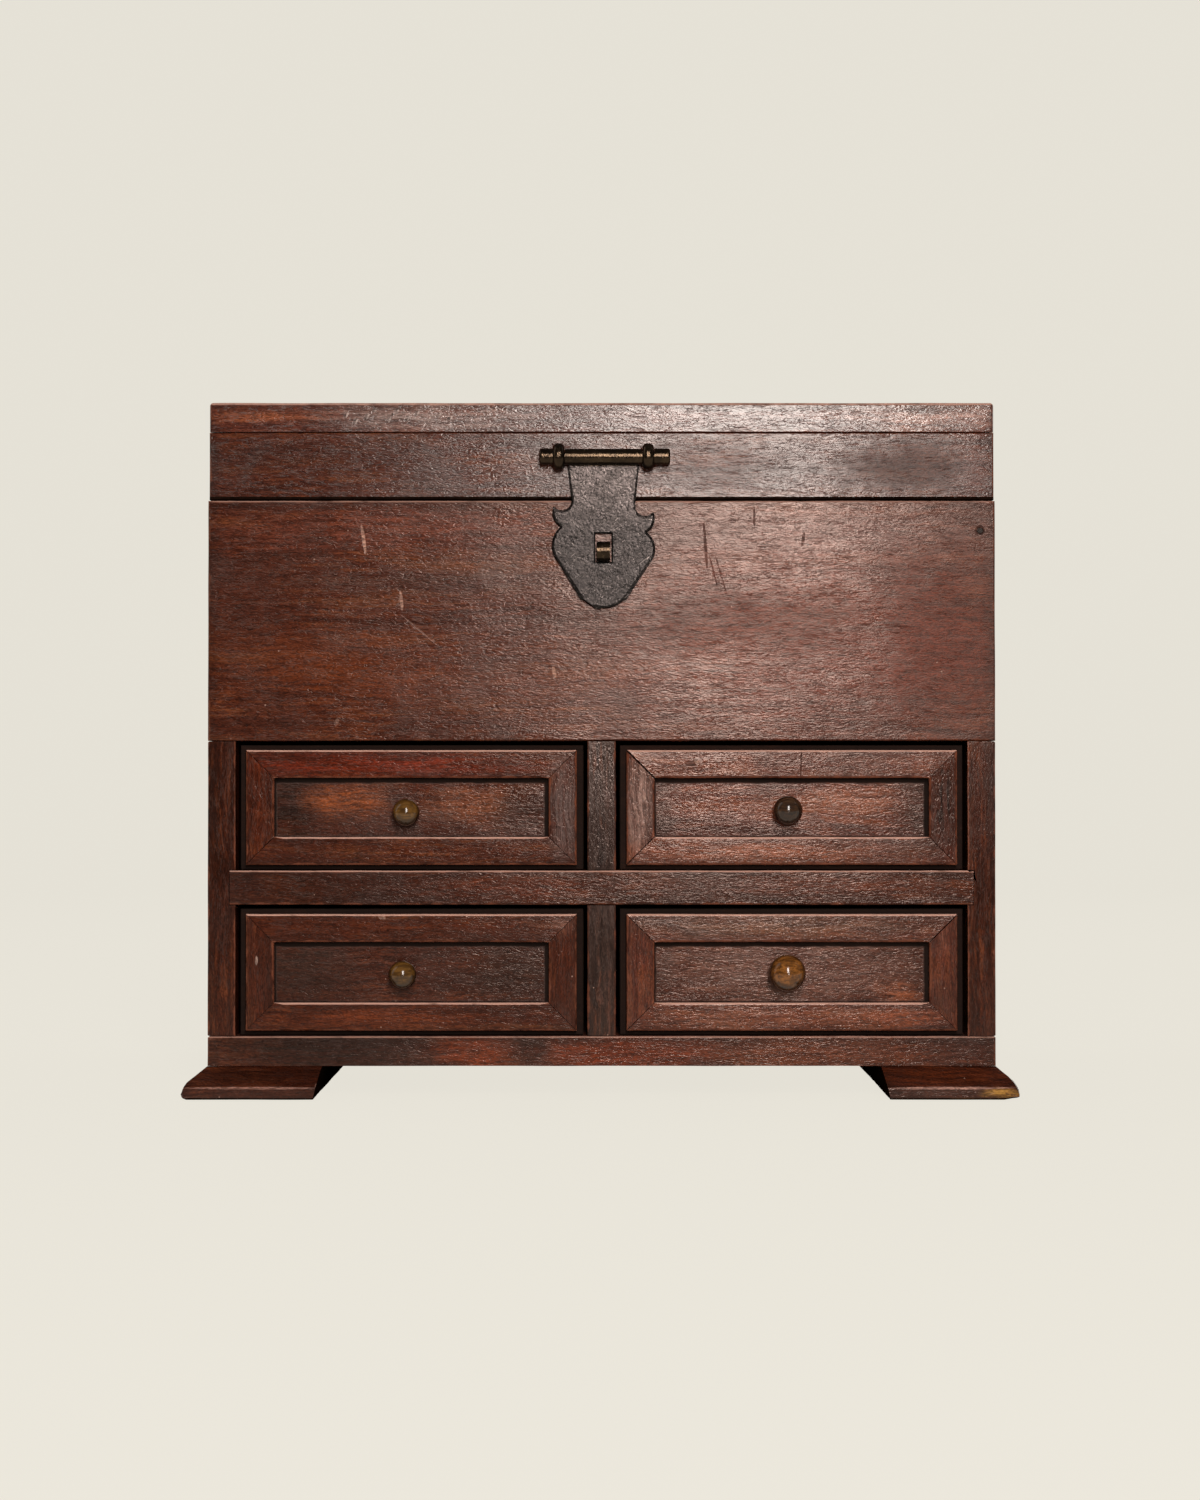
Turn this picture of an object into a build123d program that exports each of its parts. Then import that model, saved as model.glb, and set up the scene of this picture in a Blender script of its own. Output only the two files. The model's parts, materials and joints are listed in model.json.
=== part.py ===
from build123d import *

import os
from collections import namedtuple
from math import radians, sqrt, tan

# Tabletop chest: a lid over a well, four drawers below it, an iron hasp in front.
# Millimetres, +Z up, front towards -Y, origin under the middle of the chest.

# Case, from the feet up
CASE_WIDTH = 500.0
CASE_DEPTH = 330.0
FOOT_HEIGHT = 20.0
BOTTOM_THICKNESS = 19.0
LOWER_OPENING_HEIGHT = 83.0
SHELF_THICKNESS = 22.0
UPPER_OPENING_HEIGHT = 82.0
FRONT_BOARD_HEIGHT = 153.0
SIDE_THICKNESS = 18.0
FRONT_THICKNESS = 18.0
BACK_THICKNESS = 18.0
FLOOR_THICKNESS = 12.0
DIVIDER_THICKNESS = 18.5
HOUSING_DEPTH = 4.0
SIDE_REBATE = 9.0
TONGUE_THICKNESS = 8.0
TONGUE_DEPTH = 3.0
EDGE_ROUND = 1.2

# Feet: runners that flare out past the case
FOOT_WIDTH = 73.0
FOOT_FLARE = 15.0
FOOT_LIP = 8.0
FOOT_UNDERCUT = 4.5
FOOT_ROUND = 2.4

# Lid
LID_RAIL_HEIGHT = 43.0
LID_TOP_THICKNESS = 19.0
LID_SHORT_OF_SIDE = 0.8
LID_ROUND = 2.0
SEAM_GAP = 0.4
LID_OPEN_ANGLE = 100.0

# Butt hinges
HINGE_LENGTH = 60.0
HINGE_LEAF_WIDTH = 12.0
HINGE_LEAF_THICKNESS = 1.6
HINGE_SETBACK = 5.0
HINGE_KNUCKLE_RADIUS = 4.0
HINGE_PIN_RADIUS = 2.0
HINGE_ROOM = 0.4
HINGE_PLACE_SHARE = 0.3
KNUCKLE_SHARES = (0.33, 0.34, 0.33)
SCREW_HEAD_RADIUS = 2.9
SCREW_SHANK_RADIUS = 1.5
SCREW_LENGTH = 9.0
SCREW_PITCH = 20.0
SCREW_LINE = 8.2

# Nails
NAIL_HEAD_RADIUS = 1.7
NAIL_HEAD_THICKNESS = 1.2
NAIL_SHANK_RADIUS = 1.2
NAIL_LENGTH = 34.0
NAIL_SINK = 0.6
NAIL_EDGE = 9.0
FRONT_NAIL_EDGE = 9.6
FRONT_NAIL_DROP = 19.0
LID_NAIL_END = 45.0

# Fits between metal and wood, and between turning metal pieces
RUNNING_FIT = 0.05
OVERRUN = 5.0

# Hasp: a plate rolled round a pin that turns in two eyes
HASP_PLATE_THICKNESS = 2.1
HASP_PIN_RADIUS = 3.0
HASP_KNUCKLE_LENGTH = 48.8
HASP_STANDOFF = 1.45
HASP_AXIS_RISE = 26.8
HASP_SHIFT = 1.2
HASP_HALF_WIDTH = 32.6
HASP_DROP = 95.6
HASP_EAR_DROP = 3.6
HASP_SLOT_WIDTH = 10.4
HASP_SLOT_HEIGHT = 18.2
HASP_SLOT_DROP = 48.2
HASP_PLATE_ROUND = 0.5
PIN_HEAD_RADIUS = 5.3
LEFT_PIN_HEAD_LENGTH = 8.2
RIGHT_PIN_HEAD_LENGTH = 10.0
PIN_HEAD_ROUND = 1.4
EYE_RADIUS = 8.6
EYE_WIDTH = 7.2
EYE_ROUND = 2.9
EYE_SHANK_RADIUS = 2.6
EYE_SHANK_LENGTH = 20.5
EYE_SIDE_GAP = 0.3
HASP_FLANK_SHARES = {
    "neck_top": (0.71, 0.0),
    "neck_end": (0.62, 0.285),
    "neck_curve": (0.73, 0.345),
    "ear_tip": (0.965, 0.325),
    "ear_side": (0.99, 0.375),
    "notch": (0.835, 0.458),
    "lobe_side": (1.0, 0.568),
    "lobe_end": (0.94, 0.665),
    "tip_start": (0.42, 0.938),
}

# Staple
STAPLE_WIDTH = 8.2
STAPLE_STOCK = 2.6
STAPLE_HEIGHT = 12.2
STAPLE_REACH = 12.6
STAPLE_LEG_LENGTH = 15.0
STAPLE_SLOT_GAP = 0.5

# Drawers
DRAWER_SIDE_GAP = 2.4
DRAWER_TOP_GAP = 2.6
DRAWER_RUNNING_GAP = 0.3
DRAWER_BACK_GAP = 1.5
DRAWER_FRONT_THICKNESS = 12.0
DRAWER_SIDE_THICKNESS = 8.0
DRAWER_BACK_THICKNESS = 8.0
DRAWER_BOTTOM_THICKNESS = 5.0
DRAWER_SIDE_DROP = 4.0
DRAWER_LAP = 4.0
DRAWER_GROOVE_DEPTH = 3.0
DRAWER_BOTTOM_RISE = 6.0
DRAWER_ROUND = 0.8
MOULDING_WIDTH = 18.0
MOULDING_THICKNESS = 7.0
MOULDING_PROUD = 1.5
MOULDING_SIDE_MARGIN = 4.0
MOULDING_END_MARGIN = 3.0
MOULDING_OUTER_ROUND = 1.8
MOULDING_INNER_ROUND = 0.5
MITRE_GAP = 0.1

# Knobs
UPPER_LEFT_KNOB_DIAMETER = 17.4
UPPER_RIGHT_KNOB_DIAMETER = 18.4
LOWER_LEFT_KNOB_DIAMETER = 17.8
LOWER_RIGHT_KNOB_DIAMETER = 23.4
KNOB_TENON_RADIUS = 3.5
KNOB_NECK_RADIUS = 4.4
KNOB_BASE_RADIUS = 5.2
KNOB_NECK_LENGTH = 3.0
KNOB_SHIFT_SHARES = {
    "upper_left": (-0.018, -0.085),
    "upper_right": (-0.016, -0.05),
    "lower_left": (-0.03, -0.035),
    "lower_right": (-0.02, 0.0),
}

# Levels
BOTTOM_Z = FOOT_HEIGHT
LOWER_Z = BOTTOM_Z + BOTTOM_THICKNESS
SHELF_Z = LOWER_Z + LOWER_OPENING_HEIGHT
UPPER_Z = SHELF_Z + SHELF_THICKNESS
FLOOR_Z = UPPER_Z + UPPER_OPENING_HEIGHT
SEAM_Z = FLOOR_Z + FRONT_BOARD_HEIGHT
CASE_TOP_Z = SEAM_Z - SEAM_GAP / 2
LID_Z = SEAM_Z + SEAM_GAP / 2
LID_TOP_Z = LID_Z + LID_RAIL_HEIGHT
HASP_AXIS_Z = SEAM_Z + HASP_AXIS_RISE

# Depths. The knob that stands out most and the feet's rear flare are equally far from the origin.
SETBACK = MOULDING_THICKNESS - MOULDING_PROUD


def ball_centre(diameter):
    """Distance of a knob's ball from the face that the knob stands on."""
    return KNOB_NECK_LENGTH + sqrt((diameter / 2) ** 2 - KNOB_NECK_RADIUS**2)


FRONT_REACH = ball_centre(LOWER_RIGHT_KNOB_DIAMETER) + LOWER_RIGHT_KNOB_DIAMETER / 2 - SETBACK
FRONT_Y = (FRONT_REACH - FOOT_FLARE - CASE_DEPTH) / 2
BACK_Y = FRONT_Y + CASE_DEPTH
INNER_FRONT_Y = FRONT_Y + FRONT_THICKNESS
INNER_BACK_Y = BACK_Y - BACK_THICKNESS
HINGE_Y = BACK_Y - HINGE_SETBACK
BEVEL_DROP = HINGE_SETBACK * tan(radians(LID_OPEN_ANGLE / 2))
KNUCKLE_RADIUS = HASP_PIN_RADIUS + RUNNING_FIT + HASP_PLATE_THICKNESS
HASP_AXIS_Y = FRONT_Y - HASP_STANDOFF - KNUCKLE_RADIUS

# Widths
INNER_X = CASE_WIDTH / 2 - SIDE_THICKNESS
OPENING_WIDTH = INNER_X - DIVIDER_THICKNESS / 2
LID_X = CASE_WIDTH / 2 - LID_SHORT_OF_SIDE
LID_NAIL_PITCH = (CASE_DEPTH - 2 * LID_NAIL_END) / 2
HINGE_PLACES = (-CASE_WIDTH * HINGE_PLACE_SHARE, CASE_WIDTH * HINGE_PLACE_SHARE)
EYE_X = HASP_KNUCKLE_LENGTH / 2 + EYE_SIDE_GAP + EYE_WIDTH / 2
FRONT_NAIL = (CASE_WIDTH / 2 - FRONT_NAIL_EDGE, CASE_TOP_Z - FRONT_NAIL_DROP)
STAPLE_BASE_Z = HASP_AXIS_Z - HASP_SLOT_DROP - HASP_SLOT_HEIGHT + STAPLE_SLOT_GAP

os.makedirs("parts", exist_ok=True)


def facing(y):
    """Sketch plane at depth y, seen from the front: sketch x is X and sketch y is Z."""
    return Plane.XZ.offset(-y)


def save(piece, name):
    piece.part.label = name
    export_step(piece.part, f"parts/{name}.step")


def rectangle(x0, y0, x1, y1):
    """Rectangle between two corners of the sketch."""
    with Locations(((x0 + x1) / 2, (y0 + y1) / 2)):
        Rectangle(abs(x1 - x0), abs(y1 - y0))


def outermost(faces, side):
    """The flat face that looks sideways and lies furthest out on one side of the chest."""
    return faces.filter_by(Axis.X).sort_by(lambda face: side * face.center().X)[-1]


# Case boards


def case_side(name, side):
    """Side board. Its front edge steps back above the drawers to let the front board lap over it."""
    outer_x = side * CASE_WIDTH / 2
    with BuildPart() as board:
        with BuildSketch(Plane.YZ.offset(outer_x)):
            with BuildLine():
                Polyline(
                    (FRONT_Y, LOWER_Z),
                    (BACK_Y, LOWER_Z),
                    (BACK_Y, CASE_TOP_Z - BEVEL_DROP),
                    (HINGE_Y, CASE_TOP_Z),
                    (INNER_FRONT_Y, CASE_TOP_Z),
                    (INNER_FRONT_Y, FLOOR_Z),
                    (FRONT_Y, FLOOR_Z),
                    close=True,
                )
            make_face()
        extrude(amount=-side * SIDE_THICKNESS)
        fillet(outermost(board.faces(), side).edges(), EDGE_ROUND)
        with BuildSketch(Plane.YZ.offset(side * INNER_X)):
            rectangle(FRONT_Y - OVERRUN, SHELF_Z, INNER_BACK_Y, UPPER_Z)
            rectangle(INNER_FRONT_Y - OVERRUN, FLOOR_Z, INNER_BACK_Y, FLOOR_Z + FLOOR_THICKNESS)
        extrude(amount=side * HOUSING_DEPTH, mode=Mode.SUBTRACT)
        with BuildSketch(Plane.YZ.offset(side * INNER_X)):
            rectangle(INNER_BACK_Y, LOWER_Z - OVERRUN, BACK_Y + OVERRUN, CASE_TOP_Z + OVERRUN)
        extrude(amount=side * SIDE_REBATE, mode=Mode.SUBTRACT)
        if side > 0:
            with BuildSketch(facing(INNER_FRONT_Y)):
                with Locations(FRONT_NAIL):
                    Circle(NAIL_SHANK_RADIUS + RUNNING_FIT)
            extrude(amount=-(NAIL_LENGTH + NAIL_SINK - FRONT_THICKNESS), mode=Mode.SUBTRACT)
    save(board, name)


case_side("case_left_side", -1)
case_side("case_right_side", 1)

with BuildPart() as front_board:
    with BuildSketch(facing(FRONT_Y)):
        rectangle(-CASE_WIDTH / 2, FLOOR_Z, CASE_WIDTH / 2, CASE_TOP_Z)
    extrude(amount=-FRONT_THICKNESS)
    fillet(front_board.faces().sort_by(Axis.Y)[0].edges(), EDGE_ROUND)
    with BuildSketch(facing(FRONT_Y)):
        for leg_z in (STAPLE_BASE_Z, STAPLE_BASE_Z + STAPLE_HEIGHT - STAPLE_STOCK):
            rectangle(
                HASP_SHIFT - STAPLE_WIDTH / 2 - RUNNING_FIT,
                leg_z - RUNNING_FIT,
                HASP_SHIFT + STAPLE_WIDTH / 2 + RUNNING_FIT,
                leg_z + STAPLE_STOCK + RUNNING_FIT,
            )
    extrude(amount=-STAPLE_LEG_LENGTH - RUNNING_FIT, mode=Mode.SUBTRACT)
    with BuildSketch(facing(FRONT_Y)):
        with Locations(FRONT_NAIL):
            Circle(NAIL_HEAD_RADIUS + RUNNING_FIT)
    extrude(amount=-NAIL_SINK - NAIL_HEAD_THICKNESS, mode=Mode.SUBTRACT)
    with BuildSketch(facing(FRONT_Y)):
        with Locations(FRONT_NAIL):
            Circle(NAIL_SHANK_RADIUS + RUNNING_FIT)
    extrude(amount=-FRONT_THICKNESS - OVERRUN, mode=Mode.SUBTRACT)
save(front_board, "case_front_board")

with BuildPart() as back_board:
    with BuildSketch(Plane.YZ.offset(-INNER_X - SIDE_REBATE)):
        with BuildLine():
            Polyline(
                (INNER_BACK_Y, LOWER_Z),
                (BACK_Y, LOWER_Z),
                (BACK_Y, CASE_TOP_Z - BEVEL_DROP),
                (HINGE_Y, CASE_TOP_Z),
                (INNER_BACK_Y, CASE_TOP_Z),
                close=True,
            )
        make_face()
    extrude(amount=2 * (INNER_X + SIDE_REBATE))
    for hinge_x in HINGE_PLACES:
        with BuildSketch(Plane.YZ.offset(hinge_x - HINGE_LENGTH / 2 - HINGE_ROOM)):
            with Locations((HINGE_Y, SEAM_Z)):
                Circle(HINGE_KNUCKLE_RADIUS + HINGE_ROOM)
        extrude(amount=HINGE_LENGTH + 2 * HINGE_ROOM, mode=Mode.SUBTRACT)
        with BuildSketch(Plane.XY.offset(CASE_TOP_Z)):
            rectangle(
                hinge_x - HINGE_LENGTH / 2 - HINGE_ROOM,
                HINGE_Y - HINGE_LEAF_WIDTH - HINGE_ROOM,
                hinge_x + HINGE_LENGTH / 2 + HINGE_ROOM,
                HINGE_Y,
            )
        extrude(amount=-HINGE_LEAF_THICKNESS, mode=Mode.SUBTRACT)
        with BuildSketch(Plane.XY.offset(CASE_TOP_Z)):
            with Locations((hinge_x, HINGE_Y - SCREW_LINE)):
                with GridLocations(SCREW_PITCH, 0, 3, 1):
                    Circle(SCREW_SHANK_RADIUS + RUNNING_FIT)
        extrude(amount=-SCREW_LENGTH - RUNNING_FIT, mode=Mode.SUBTRACT)
save(back_board, "case_back_board")

with BuildPart() as bottom_board:
    with BuildSketch(Plane.XY.offset(BOTTOM_Z)):
        rectangle(-CASE_WIDTH / 2, FRONT_Y, CASE_WIDTH / 2, BACK_Y)
    extrude(amount=BOTTOM_THICKNESS)
    fillet(bottom_board.edges().filter_by(Axis.Z), EDGE_ROUND)
    fillet(bottom_board.faces().sort_by(Axis.Z)[-1].edges(), EDGE_ROUND)
    with BuildSketch(Plane.XY.offset(LOWER_Z)):
        rectangle(-TONGUE_THICKNESS / 2, INNER_FRONT_Y, TONGUE_THICKNESS / 2, INNER_BACK_Y)
    extrude(amount=-TONGUE_DEPTH, mode=Mode.SUBTRACT)
save(bottom_board, "case_bottom_board")

with BuildPart() as well_floor:
    with BuildSketch(Plane.XY.offset(FLOOR_Z)):
        rectangle(-INNER_X - HOUSING_DEPTH, INNER_FRONT_Y, INNER_X + HOUSING_DEPTH, INNER_BACK_Y)
    extrude(amount=FLOOR_THICKNESS)
    with BuildSketch(Plane.XY.offset(FLOOR_Z)):
        rectangle(-TONGUE_THICKNESS / 2, INNER_FRONT_Y, TONGUE_THICKNESS / 2, INNER_BACK_Y)
    extrude(amount=TONGUE_DEPTH, mode=Mode.SUBTRACT)
save(well_floor, "well_floor")

with BuildPart() as middle_shelf:
    with BuildSketch(Plane.XY.offset(SHELF_Z)):
        rectangle(-INNER_X - HOUSING_DEPTH, FRONT_Y, INNER_X + HOUSING_DEPTH, INNER_BACK_Y)
    extrude(amount=SHELF_THICKNESS)
    fillet(middle_shelf.faces().sort_by(Axis.Y)[0].edges().filter_by(Axis.X), EDGE_ROUND)
    for groove_z, depth in ((SHELF_Z, TONGUE_DEPTH), (UPPER_Z, -TONGUE_DEPTH)):
        with BuildSketch(Plane.XY.offset(groove_z)):
            rectangle(-TONGUE_THICKNESS / 2, INNER_FRONT_Y, TONGUE_THICKNESS / 2, INNER_BACK_Y)
        extrude(amount=depth, mode=Mode.SUBTRACT)
save(middle_shelf, "middle_shelf")


def divider(name, base_z, height):
    """Upright board between two drawers. Its tongues above and below start behind its front edge."""
    with BuildPart() as board:
        with BuildSketch(Plane.XY.offset(base_z)):
            rectangle(-DIVIDER_THICKNESS / 2, FRONT_Y, DIVIDER_THICKNESS / 2, INNER_BACK_Y)
        extrude(amount=height)
        fillet(board.faces().sort_by(Axis.Y)[0].edges().filter_by(Axis.Z), EDGE_ROUND)
        with BuildSketch(Plane.XY.offset(base_z - TONGUE_DEPTH)):
            rectangle(-TONGUE_THICKNESS / 2, INNER_FRONT_Y, TONGUE_THICKNESS / 2, INNER_BACK_Y)
        extrude(amount=height + 2 * TONGUE_DEPTH)
    save(board, name)


divider("lower_divider", LOWER_Z, LOWER_OPENING_HEIGHT)
divider("upper_divider", UPPER_Z, UPPER_OPENING_HEIGHT)


def foot(name, side):
    """Runner from front to back: its outer side and both ends flare out to a rounded lip."""
    top_x = side * CASE_WIDTH / 2
    with BuildPart() as runner:
        with BuildSketch(facing(FRONT_Y - FOOT_FLARE)):
            with BuildLine():
                Polyline(
                    (top_x, FOOT_HEIGHT),
                    (top_x + side * FOOT_FLARE, FOOT_LIP),
                    (top_x + side * FOOT_FLARE, 0),
                    (top_x - side * (FOOT_WIDTH - FOOT_UNDERCUT), 0),
                    (top_x - side * FOOT_WIDTH, FOOT_HEIGHT),
                    close=True,
                )
            make_face()
        extrude(amount=-CASE_DEPTH - 2 * FOOT_FLARE)
        with BuildSketch(Plane.YZ.offset(top_x - side * (FOOT_WIDTH + OVERRUN))):
            with BuildLine():
                Polyline(
                    (FRONT_Y, FOOT_HEIGHT),
                    (FRONT_Y - FOOT_FLARE, FOOT_LIP),
                    (FRONT_Y - FOOT_FLARE, 0),
                    (BACK_Y + FOOT_FLARE, 0),
                    (BACK_Y + FOOT_FLARE, FOOT_LIP),
                    (BACK_Y, FOOT_HEIGHT),
                    close=True,
                )
            make_face()
        extrude(amount=side * (FOOT_WIDTH + FOOT_FLARE + 2 * OVERRUN), mode=Mode.INTERSECT)
        inner_edges = runner.faces().sort_by(lambda face: side * face.center().X)[0].edges()
        lip_faces = runner.faces().filter_by(Axis.X) + runner.faces().filter_by(Axis.Y)
        fillet([edge for edge in lip_faces.edges() if edge not in inner_edges], FOOT_ROUND)
    save(runner, name)


foot("left_foot", -1)
foot("right_foot", 1)

with BuildPart() as front_nail:
    with BuildSketch(facing(FRONT_Y + NAIL_SINK)):
        with Locations(FRONT_NAIL):
            Circle(NAIL_HEAD_RADIUS)
    extrude(amount=-NAIL_HEAD_THICKNESS)
    with BuildSketch(facing(FRONT_Y + NAIL_SINK)):
        with Locations(FRONT_NAIL):
            Circle(NAIL_SHANK_RADIUS)
    extrude(amount=-NAIL_LENGTH)
save(front_nail, "front_board_nail")

with BuildPart() as staple:
    crown_y = FRONT_Y - STAPLE_REACH + STAPLE_HEIGHT / 2
    leg_y = FRONT_Y + STAPLE_LEG_LENGTH
    crown_z = STAPLE_BASE_Z + STAPLE_HEIGHT / 2
    with BuildSketch(Plane.YZ.offset(HASP_SHIFT - STAPLE_WIDTH / 2)):
        rectangle(crown_y, STAPLE_BASE_Z, leg_y, STAPLE_BASE_Z + STAPLE_HEIGHT)
        with Locations((crown_y, crown_z)):
            Circle(STAPLE_HEIGHT / 2)
            Circle(STAPLE_HEIGHT / 2 - STAPLE_STOCK, mode=Mode.SUBTRACT)
        with Locations(((crown_y + leg_y) / 2, crown_z)):
            Rectangle(leg_y - crown_y, STAPLE_HEIGHT - 2 * STAPLE_STOCK, mode=Mode.SUBTRACT)
    extrude(amount=STAPLE_WIDTH)
save(staple, "hasp_staple")

# Lid

with BuildPart() as lid_top:
    with BuildSketch(Plane.XY.offset(LID_TOP_Z)):
        rectangle(-LID_X, FRONT_Y, LID_X, BACK_Y)
    extrude(amount=LID_TOP_THICKNESS)
    fillet(lid_top.edges().filter_by(Axis.Z), LID_ROUND)
    fillet(lid_top.faces().sort_by(Axis.Z)[-1].edges(), LID_ROUND)
    fillet(lid_top.faces().sort_by(Axis.Z)[0].edges(), EDGE_ROUND / 2)
    with BuildSketch(Plane.XY.offset(LID_TOP_Z + LID_TOP_THICKNESS)):
        with Locations((0, (FRONT_Y + BACK_Y) / 2)):
            with GridLocations(2 * (LID_X - NAIL_EDGE), LID_NAIL_PITCH, 2, 3):
                Circle(NAIL_HEAD_RADIUS + RUNNING_FIT)
    extrude(amount=-NAIL_SINK - NAIL_HEAD_THICKNESS, mode=Mode.SUBTRACT)
    with BuildSketch(Plane.XY.offset(LID_TOP_Z + LID_TOP_THICKNESS)):
        with Locations((0, (FRONT_Y + BACK_Y) / 2)):
            with GridLocations(2 * (LID_X - NAIL_EDGE), LID_NAIL_PITCH, 2, 3):
                Circle(NAIL_SHANK_RADIUS + RUNNING_FIT)
    extrude(amount=-LID_TOP_THICKNESS - OVERRUN, mode=Mode.SUBTRACT)
save(lid_top, "lid_top_board")

with BuildPart() as lid_nails:
    with BuildSketch(Plane.XY.offset(LID_TOP_Z + LID_TOP_THICKNESS - NAIL_SINK)):
        with Locations((0, (FRONT_Y + BACK_Y) / 2)):
            with GridLocations(2 * (LID_X - NAIL_EDGE), LID_NAIL_PITCH, 2, 3):
                Circle(NAIL_HEAD_RADIUS)
    extrude(amount=-NAIL_HEAD_THICKNESS)
    with BuildSketch(Plane.XY.offset(LID_TOP_Z + LID_TOP_THICKNESS - NAIL_SINK)):
        with Locations((0, (FRONT_Y + BACK_Y) / 2)):
            with GridLocations(2 * (LID_X - NAIL_EDGE), LID_NAIL_PITCH, 2, 3):
                Circle(NAIL_SHANK_RADIUS)
    extrude(amount=-NAIL_LENGTH)
save(lid_nails, "lid_top_nails")

with BuildPart() as lid_front:
    with BuildSketch(facing(FRONT_Y)):
        rectangle(-LID_X, LID_Z, LID_X, LID_TOP_Z)
    extrude(amount=-FRONT_THICKNESS)
    fillet(lid_front.faces().sort_by(Axis.Y)[0].edges(), EDGE_ROUND)
    for eye_side in (-1, 1):
        eye_x = HASP_SHIFT + eye_side * EYE_X
        with BuildSketch(Plane.YZ.offset(eye_x - EYE_WIDTH / 2 - EYE_SIDE_GAP)):
            with Locations((HASP_AXIS_Y, HASP_AXIS_Z)):
                Circle(EYE_RADIUS + EYE_SIDE_GAP)
        extrude(amount=EYE_WIDTH + 2 * EYE_SIDE_GAP, mode=Mode.SUBTRACT)
        with BuildSketch(facing(HASP_AXIS_Y)):
            with Locations((eye_x, HASP_AXIS_Z)):
                Circle(EYE_SHANK_RADIUS + RUNNING_FIT)
        extrude(amount=-EYE_SHANK_LENGTH - RUNNING_FIT, mode=Mode.SUBTRACT)
save(lid_front, "lid_front_rail")


def lid_side(name, side):
    """Side rail of the lid, rebated behind for the back rail."""
    with BuildPart() as rail:
        with BuildSketch(Plane.YZ.offset(side * LID_X)):
            with BuildLine():
                Polyline(
                    (INNER_FRONT_Y, LID_Z),
                    (HINGE_Y, LID_Z),
                    (BACK_Y, LID_Z + BEVEL_DROP),
                    (BACK_Y, LID_TOP_Z),
                    (INNER_FRONT_Y, LID_TOP_Z),
                    close=True,
                )
            make_face()
        extrude(amount=-side * SIDE_THICKNESS)
        fillet(outermost(rail.faces(), side).edges(), EDGE_ROUND)
        with BuildSketch(Plane.YZ.offset(side * (LID_X - SIDE_THICKNESS))):
            rectangle(INNER_BACK_Y, LID_Z - OVERRUN, BACK_Y + OVERRUN, LID_TOP_Z + OVERRUN)
        extrude(amount=side * SIDE_REBATE, mode=Mode.SUBTRACT)
        with BuildSketch(Plane.XY.offset(LID_TOP_Z)):
            with Locations((side * (LID_X - NAIL_EDGE), (FRONT_Y + BACK_Y) / 2)):
                with GridLocations(0, LID_NAIL_PITCH, 1, 3):
                    Circle(NAIL_SHANK_RADIUS + RUNNING_FIT)
        extrude(amount=-(NAIL_LENGTH + NAIL_SINK - LID_TOP_THICKNESS), mode=Mode.SUBTRACT)
    save(rail, name)


lid_side("lid_left_rail", -1)
lid_side("lid_right_rail", 1)

with BuildPart() as lid_back:
    lid_back_x = LID_X - SIDE_THICKNESS + SIDE_REBATE
    with BuildSketch(Plane.YZ.offset(-lid_back_x)):
        with BuildLine():
            Polyline(
                (INNER_BACK_Y, LID_Z),
                (HINGE_Y, LID_Z),
                (BACK_Y, LID_Z + BEVEL_DROP),
                (BACK_Y, LID_TOP_Z),
                (INNER_BACK_Y, LID_TOP_Z),
                close=True,
            )
        make_face()
    extrude(amount=2 * lid_back_x)
    for hinge_x in HINGE_PLACES:
        with BuildSketch(Plane.YZ.offset(hinge_x - HINGE_LENGTH / 2 - HINGE_ROOM)):
            with Locations((HINGE_Y, SEAM_Z)):
                Circle(HINGE_KNUCKLE_RADIUS + HINGE_ROOM)
        extrude(amount=HINGE_LENGTH + 2 * HINGE_ROOM, mode=Mode.SUBTRACT)
        with BuildSketch(Plane.XY.offset(LID_Z)):
            rectangle(
                hinge_x - HINGE_LENGTH / 2 - HINGE_ROOM,
                HINGE_Y - HINGE_LEAF_WIDTH - HINGE_ROOM,
                hinge_x + HINGE_LENGTH / 2 + HINGE_ROOM,
                HINGE_Y,
            )
        extrude(amount=HINGE_LEAF_THICKNESS, mode=Mode.SUBTRACT)
        with BuildSketch(Plane.XY.offset(LID_Z)):
            with Locations((hinge_x, HINGE_Y - SCREW_LINE)):
                with GridLocations(SCREW_PITCH, 0, 3, 1):
                    Circle(SCREW_SHANK_RADIUS + RUNNING_FIT)
        extrude(amount=SCREW_LENGTH + RUNNING_FIT, mode=Mode.SUBTRACT)
save(lid_back, "lid_back_rail")

# Butt hinges: the case leaf has the two outer knuckles and the lid leaf has the middle one


def knuckle_spans(hinge_x):
    """Start and end of each of the three knuckles along the pin."""
    spans = []
    start = hinge_x - HINGE_LENGTH / 2
    for share in KNUCKLE_SHARES:
        spans.append((start, start + share * HINGE_LENGTH))
        start += share * HINGE_LENGTH
    return spans


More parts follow.
